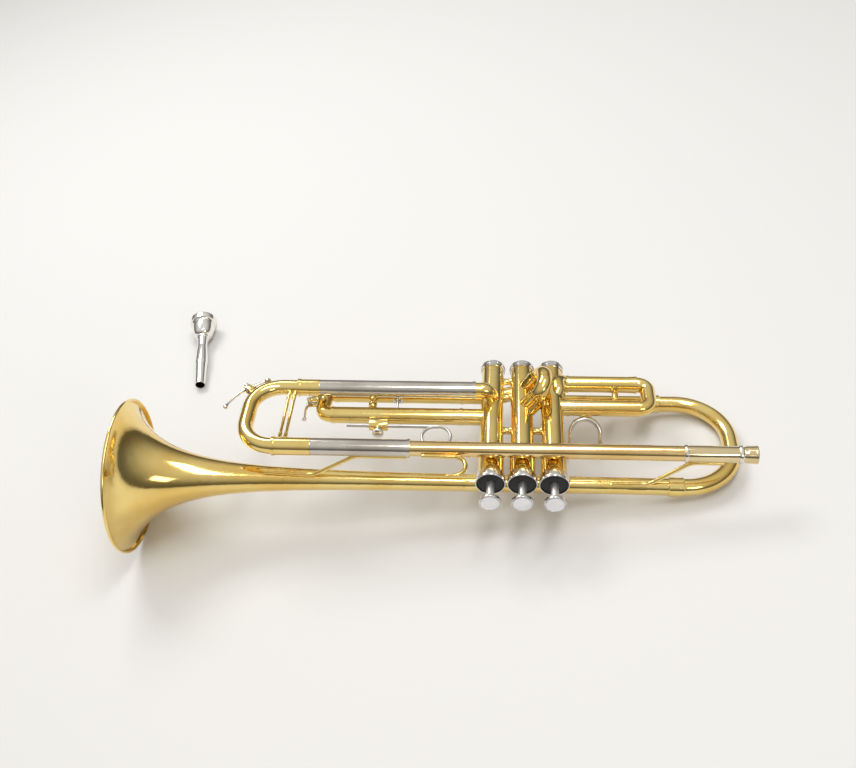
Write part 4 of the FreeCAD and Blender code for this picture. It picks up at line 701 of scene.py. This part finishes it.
def water_key(which, slide, bend_centre, bend, nipple_turn, saddle_turn, height, tip, sway):
    """One key on the outside of its crook's bend; the turns say where its nipple and its saddle stand."""
    tube, cork = 6.2, 3.4
    centre = Vector(bend_centre)
    up = Vector((math.cos(math.radians(saddle_turn)), math.sin(math.radians(saddle_turn)), 0))
    drain = Vector((math.cos(math.radians(nipple_turn)), math.sin(math.radians(nipple_turn)), 0))
    pivot = centre + up * (bend + tube + height)
    end = pivot + Vector((*tip, 0))
    at_pivot = Matrix.Translation(pivot) @ Matrix.Rotation(math.radians(saddle_turn), 4, "Z")
    at_drain = stand(centre + drain * (bend + tube), drain)
    at_cup = stand(centre + drain * (bend + tube + cork), drain)
    piece(f"{which}_key_saddle_block", key_saddle(height, pivot, at_pivot, at_drain),
          slide, "lacquered_brass", f"{which}_key_saddle")
    piece(f"{which}_key_lever_arm", key_lever(pivot, end, sway, up, drain, at_cup),
          f"{which}_key", "nickel_parts", f"{which}_water_key")
    lever_way = at_pivot.to_3x3().inverted() @ (end - pivot).normalized()
    for side, side_z in (("left", -1.38), ("right", 1.38)):
        lever_leg = lever_way * 6.0 + Vector((0, 0, -side_z * 0.6))
        coil = coil_spring(radius=1.5, wire=0.22, turns=3.0, height=1.2,
                           fixed_leg=(-height * 0.75, 2.2, 0.0), lever_leg=tuple(lever_leg),
                           metal=satin_nickel)
        coil.transform(at_pivot @ Matrix.Translation((0, 0, side_z)))
        piece(f"{which}_key_spring_{side}", [(coil, satin_nickel)], f"{which}_key", "nickel_parts")


water_key("main", "tuning_slide", bend_centre=(-192.0, -4.9, lead_z), bend=24.0,
          nipple_turn=116, saddle_turn=144, height=7.6, tip=(-13.6, -22.4), sway=1.7)
water_key("third", "third_slide", bend_centre=(-154.06, 22.2, 0.0), bend=6.8,
          nipple_turn=158, saddle_turn=190, height=6.6, tip=(-1.5, -20.0), sway=1.3)

# Key corks: short plugs cut from natural cork with a hollow punch, pressed into the keys' cups.
# They are rough and full of dark pores.
bark = Finish("cork")
pores = bark.noise(scale=900.0, detail=4.0)
cork = bark.shade({
    "Base Color": bark.blend(pores, (0.30, 0.17, 0.08), (0.62, 0.42, 0.24)),
    "Roughness": 0.85,
    "Normal": bark.bump(pores, strength=0.6, distance=0.0003),
})
coat(cork, "main_key_cork", "third_key_cork")

# Pistons: ported cylinders of monel, lapped to their casings, each with a slotted spring barrel on top and
# a nickel guide that keeps it from turning.
monel = polished("monel", bright=(0.55, 0.53, 0.50), deep=(0.45, 0.43, 0.41), stain=(0.36, 0.33, 0.30),
                 shine=0.28)
coat(monel, "piston_1", "piston_2", "piston_3", "valve_guides")

# Valve caps: nickel-plated brass. A bottom cap has a small air hole; a top cap is a cup that screws over
# the casing, with a raised rim round the felt under the finger button.
coat(nickel_plate, "bottom_valve_caps")
on_valves = [stand((x, 0, 0), -downward) for x in valve_centres]
cap = [
    (59.2, 10.03, 0), (59.2, 11.05, 0.3), (60.2, 11.3, 0.6), (64.8, 11.65, 1.0), (66.6, 11.35, 0.4),
    (66.6, 10.65, 0.25), (63.0, 10.5, 0.3), (62.62, 3.15, 0.2), (61.3, 3.15, 0), (61.3, 10.03, 0),
]
piece("top_cap_cups", [(turned(cap, place, 96), nickel_plate) for place in on_valves],
      "horn", "nickel_parts", "top_valve_caps")

# Cap felts: washers punched from thick black wool felt, laid in the top caps round the stems.
# They deaden the sound of a finger button that is pressed all the way.
wool = Finish("black_felt")
fibres = wool.noise(scale=1500.0, detail=3.0)
felt = wool.shade({
    "Base Color": wool.blend(fibres, (0.006, 0.006, 0.007), (0.03, 0.03, 0.033)),
    "Roughness": 0.95,
    "Sheen Weight": 0.2,
    "Normal": wool.bump(fibres, strength=0.5, distance=0.0004),
})
washer = [(62.66, 3.4, 0), (62.66, 10.4, 0), (65.3, 10.4, 0.6), (65.4, 3.4, 0.3)]
piece("button_felts", [(turned(washer, place, 64), felt) for place in on_valves],
      "horn", "felt", "cap_felts")

# Finger buttons: turned nickel cups with a rounded rim on brushed stems, which screw into the pistons'
# barrels. Each holds a disc of white mother of pearl.
shell = Finish("mother_of_pearl")
swirl = shell.noise(scale=120.0, detail=4.0)
pearl = shell.shade({
    "Base Color": shell.blend(shell.between(swirl, 0.35, 0.7), (0.96, 0.95, 0.98), (0.88, 0.87, 0.87)),
    "Roughness": 0.14 + 0.1 * swirl,
    "Coat Weight": 0.4,
})
coat(pearl, "button_pearl_1", "button_pearl_2", "button_pearl_3")
brushed = polished("brushed_nickel", bright=(0.86, 0.85, 0.83), deep=(0.78, 0.77, 0.75),
                   stain=(0.55, 0.53, 0.50), shine=0.38)
button_low, pearl_seat = 82.15, 84.12
cup = [
    (button_low, 0, 0), (button_low, 6.2, 0.4), (83.0, 8.3, 0.6), (84.9, 8.35, 0.6), (85.65, 7.8, 0.4),
    (85.2, 7.45, 0.2), (pearl_seat, 7.4, 0), (pearl_seat, 0, 0),
]
stem = [(60.9, 0, 0), (60.9, 3.0, 0.2), (82.4, 3.0, 0), (82.4, 0, 0)]
for number, place in enumerate(on_valves, 1):
    shapes = [(turned(cup, place), nickel_plate), (turned(stem, place, 40), brushed)]
    piece(f"button_and_stem_{number}", shapes,
          f"piston_set_{number}", "nickel_parts", f"finger_button_{number}")

# Mouthpiece: turned from brass bar and silver plated, with a deep cup, a stepped bowl and a long tapered
# shank. It lies loose beside the instrument.
silver = polished("silver_plate", bright=(0.93, 0.91, 0.87), deep=(0.86, 0.83, 0.77),
                  stain=(0.55, 0.48, 0.38), shine=0.07)
coat(silver, "mouthpiece")

# Floor: a plain sheet of matt off-white paper, wide enough to fill the view. The instrument and its
# mouthpiece both rest on it.
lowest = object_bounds()[0].z
bpy.ops.mesh.primitive_plane_add(size=30, location=(0, 0, lowest))
floor = bpy.context.object
floor.name = "floor"
paper = Finish("paper").shade({"Base Color": (0.80, 0.79, 0.77), "Roughness": 0.8})
floor.data.materials.append(paper)


# Light: three soft boxes and an even room, brighter overhead than at the sides, so that polished metal has
# something to reflect.
def softbox(name, place, size, power):
    light = bpy.data.lights.new(name, "AREA")
    light.shape = "RECTANGLE"
    light.size, light.size_y = size
    light.energy = power
    box = bpy.data.objects.new(name, light)
    box.location = place
    aim = Vector((-0.2, 0, 0))
    box.rotation_euler = (aim - Vector(place)).to_track_quat("-Z", "Y").to_euler()
    bpy.context.scene.collection.objects.link(box)


softbox("window", place=(-0.9, 0.9, 1.2), size=(0.8, 0.5), power=9)
softbox("ceiling", place=(0.1, -0.1, 1.7), size=(1.4, 0.35), power=10)
softbox("front", place=(0.7, -1.3, 0.9), size=(0.6, 0.4), power=3)

room = bpy.data.worlds.new("room")
room.use_nodes = True
sky = Tree(room.node_tree)
ray = sky.add("ShaderNodeTexCoord", output="Generated")
height = sky.add("ShaderNodeSeparateXYZ", None, {0: ray}, "Z")
glow = sky.add("ShaderNodeMapRange", {"interpolation_type": "SMOOTHSTEP"}, {
    "Value": height, "From Min": 0.05, "From Max": 0.9, "To Min": 0.12, "To Max": 0.75})
background = room.node_tree.nodes["Background"]
sky.plug(background.inputs["Color"], (1.0, 0.985, 0.96))
sky.plug(background.inputs["Strength"], glow)
bpy.context.scene.world = room
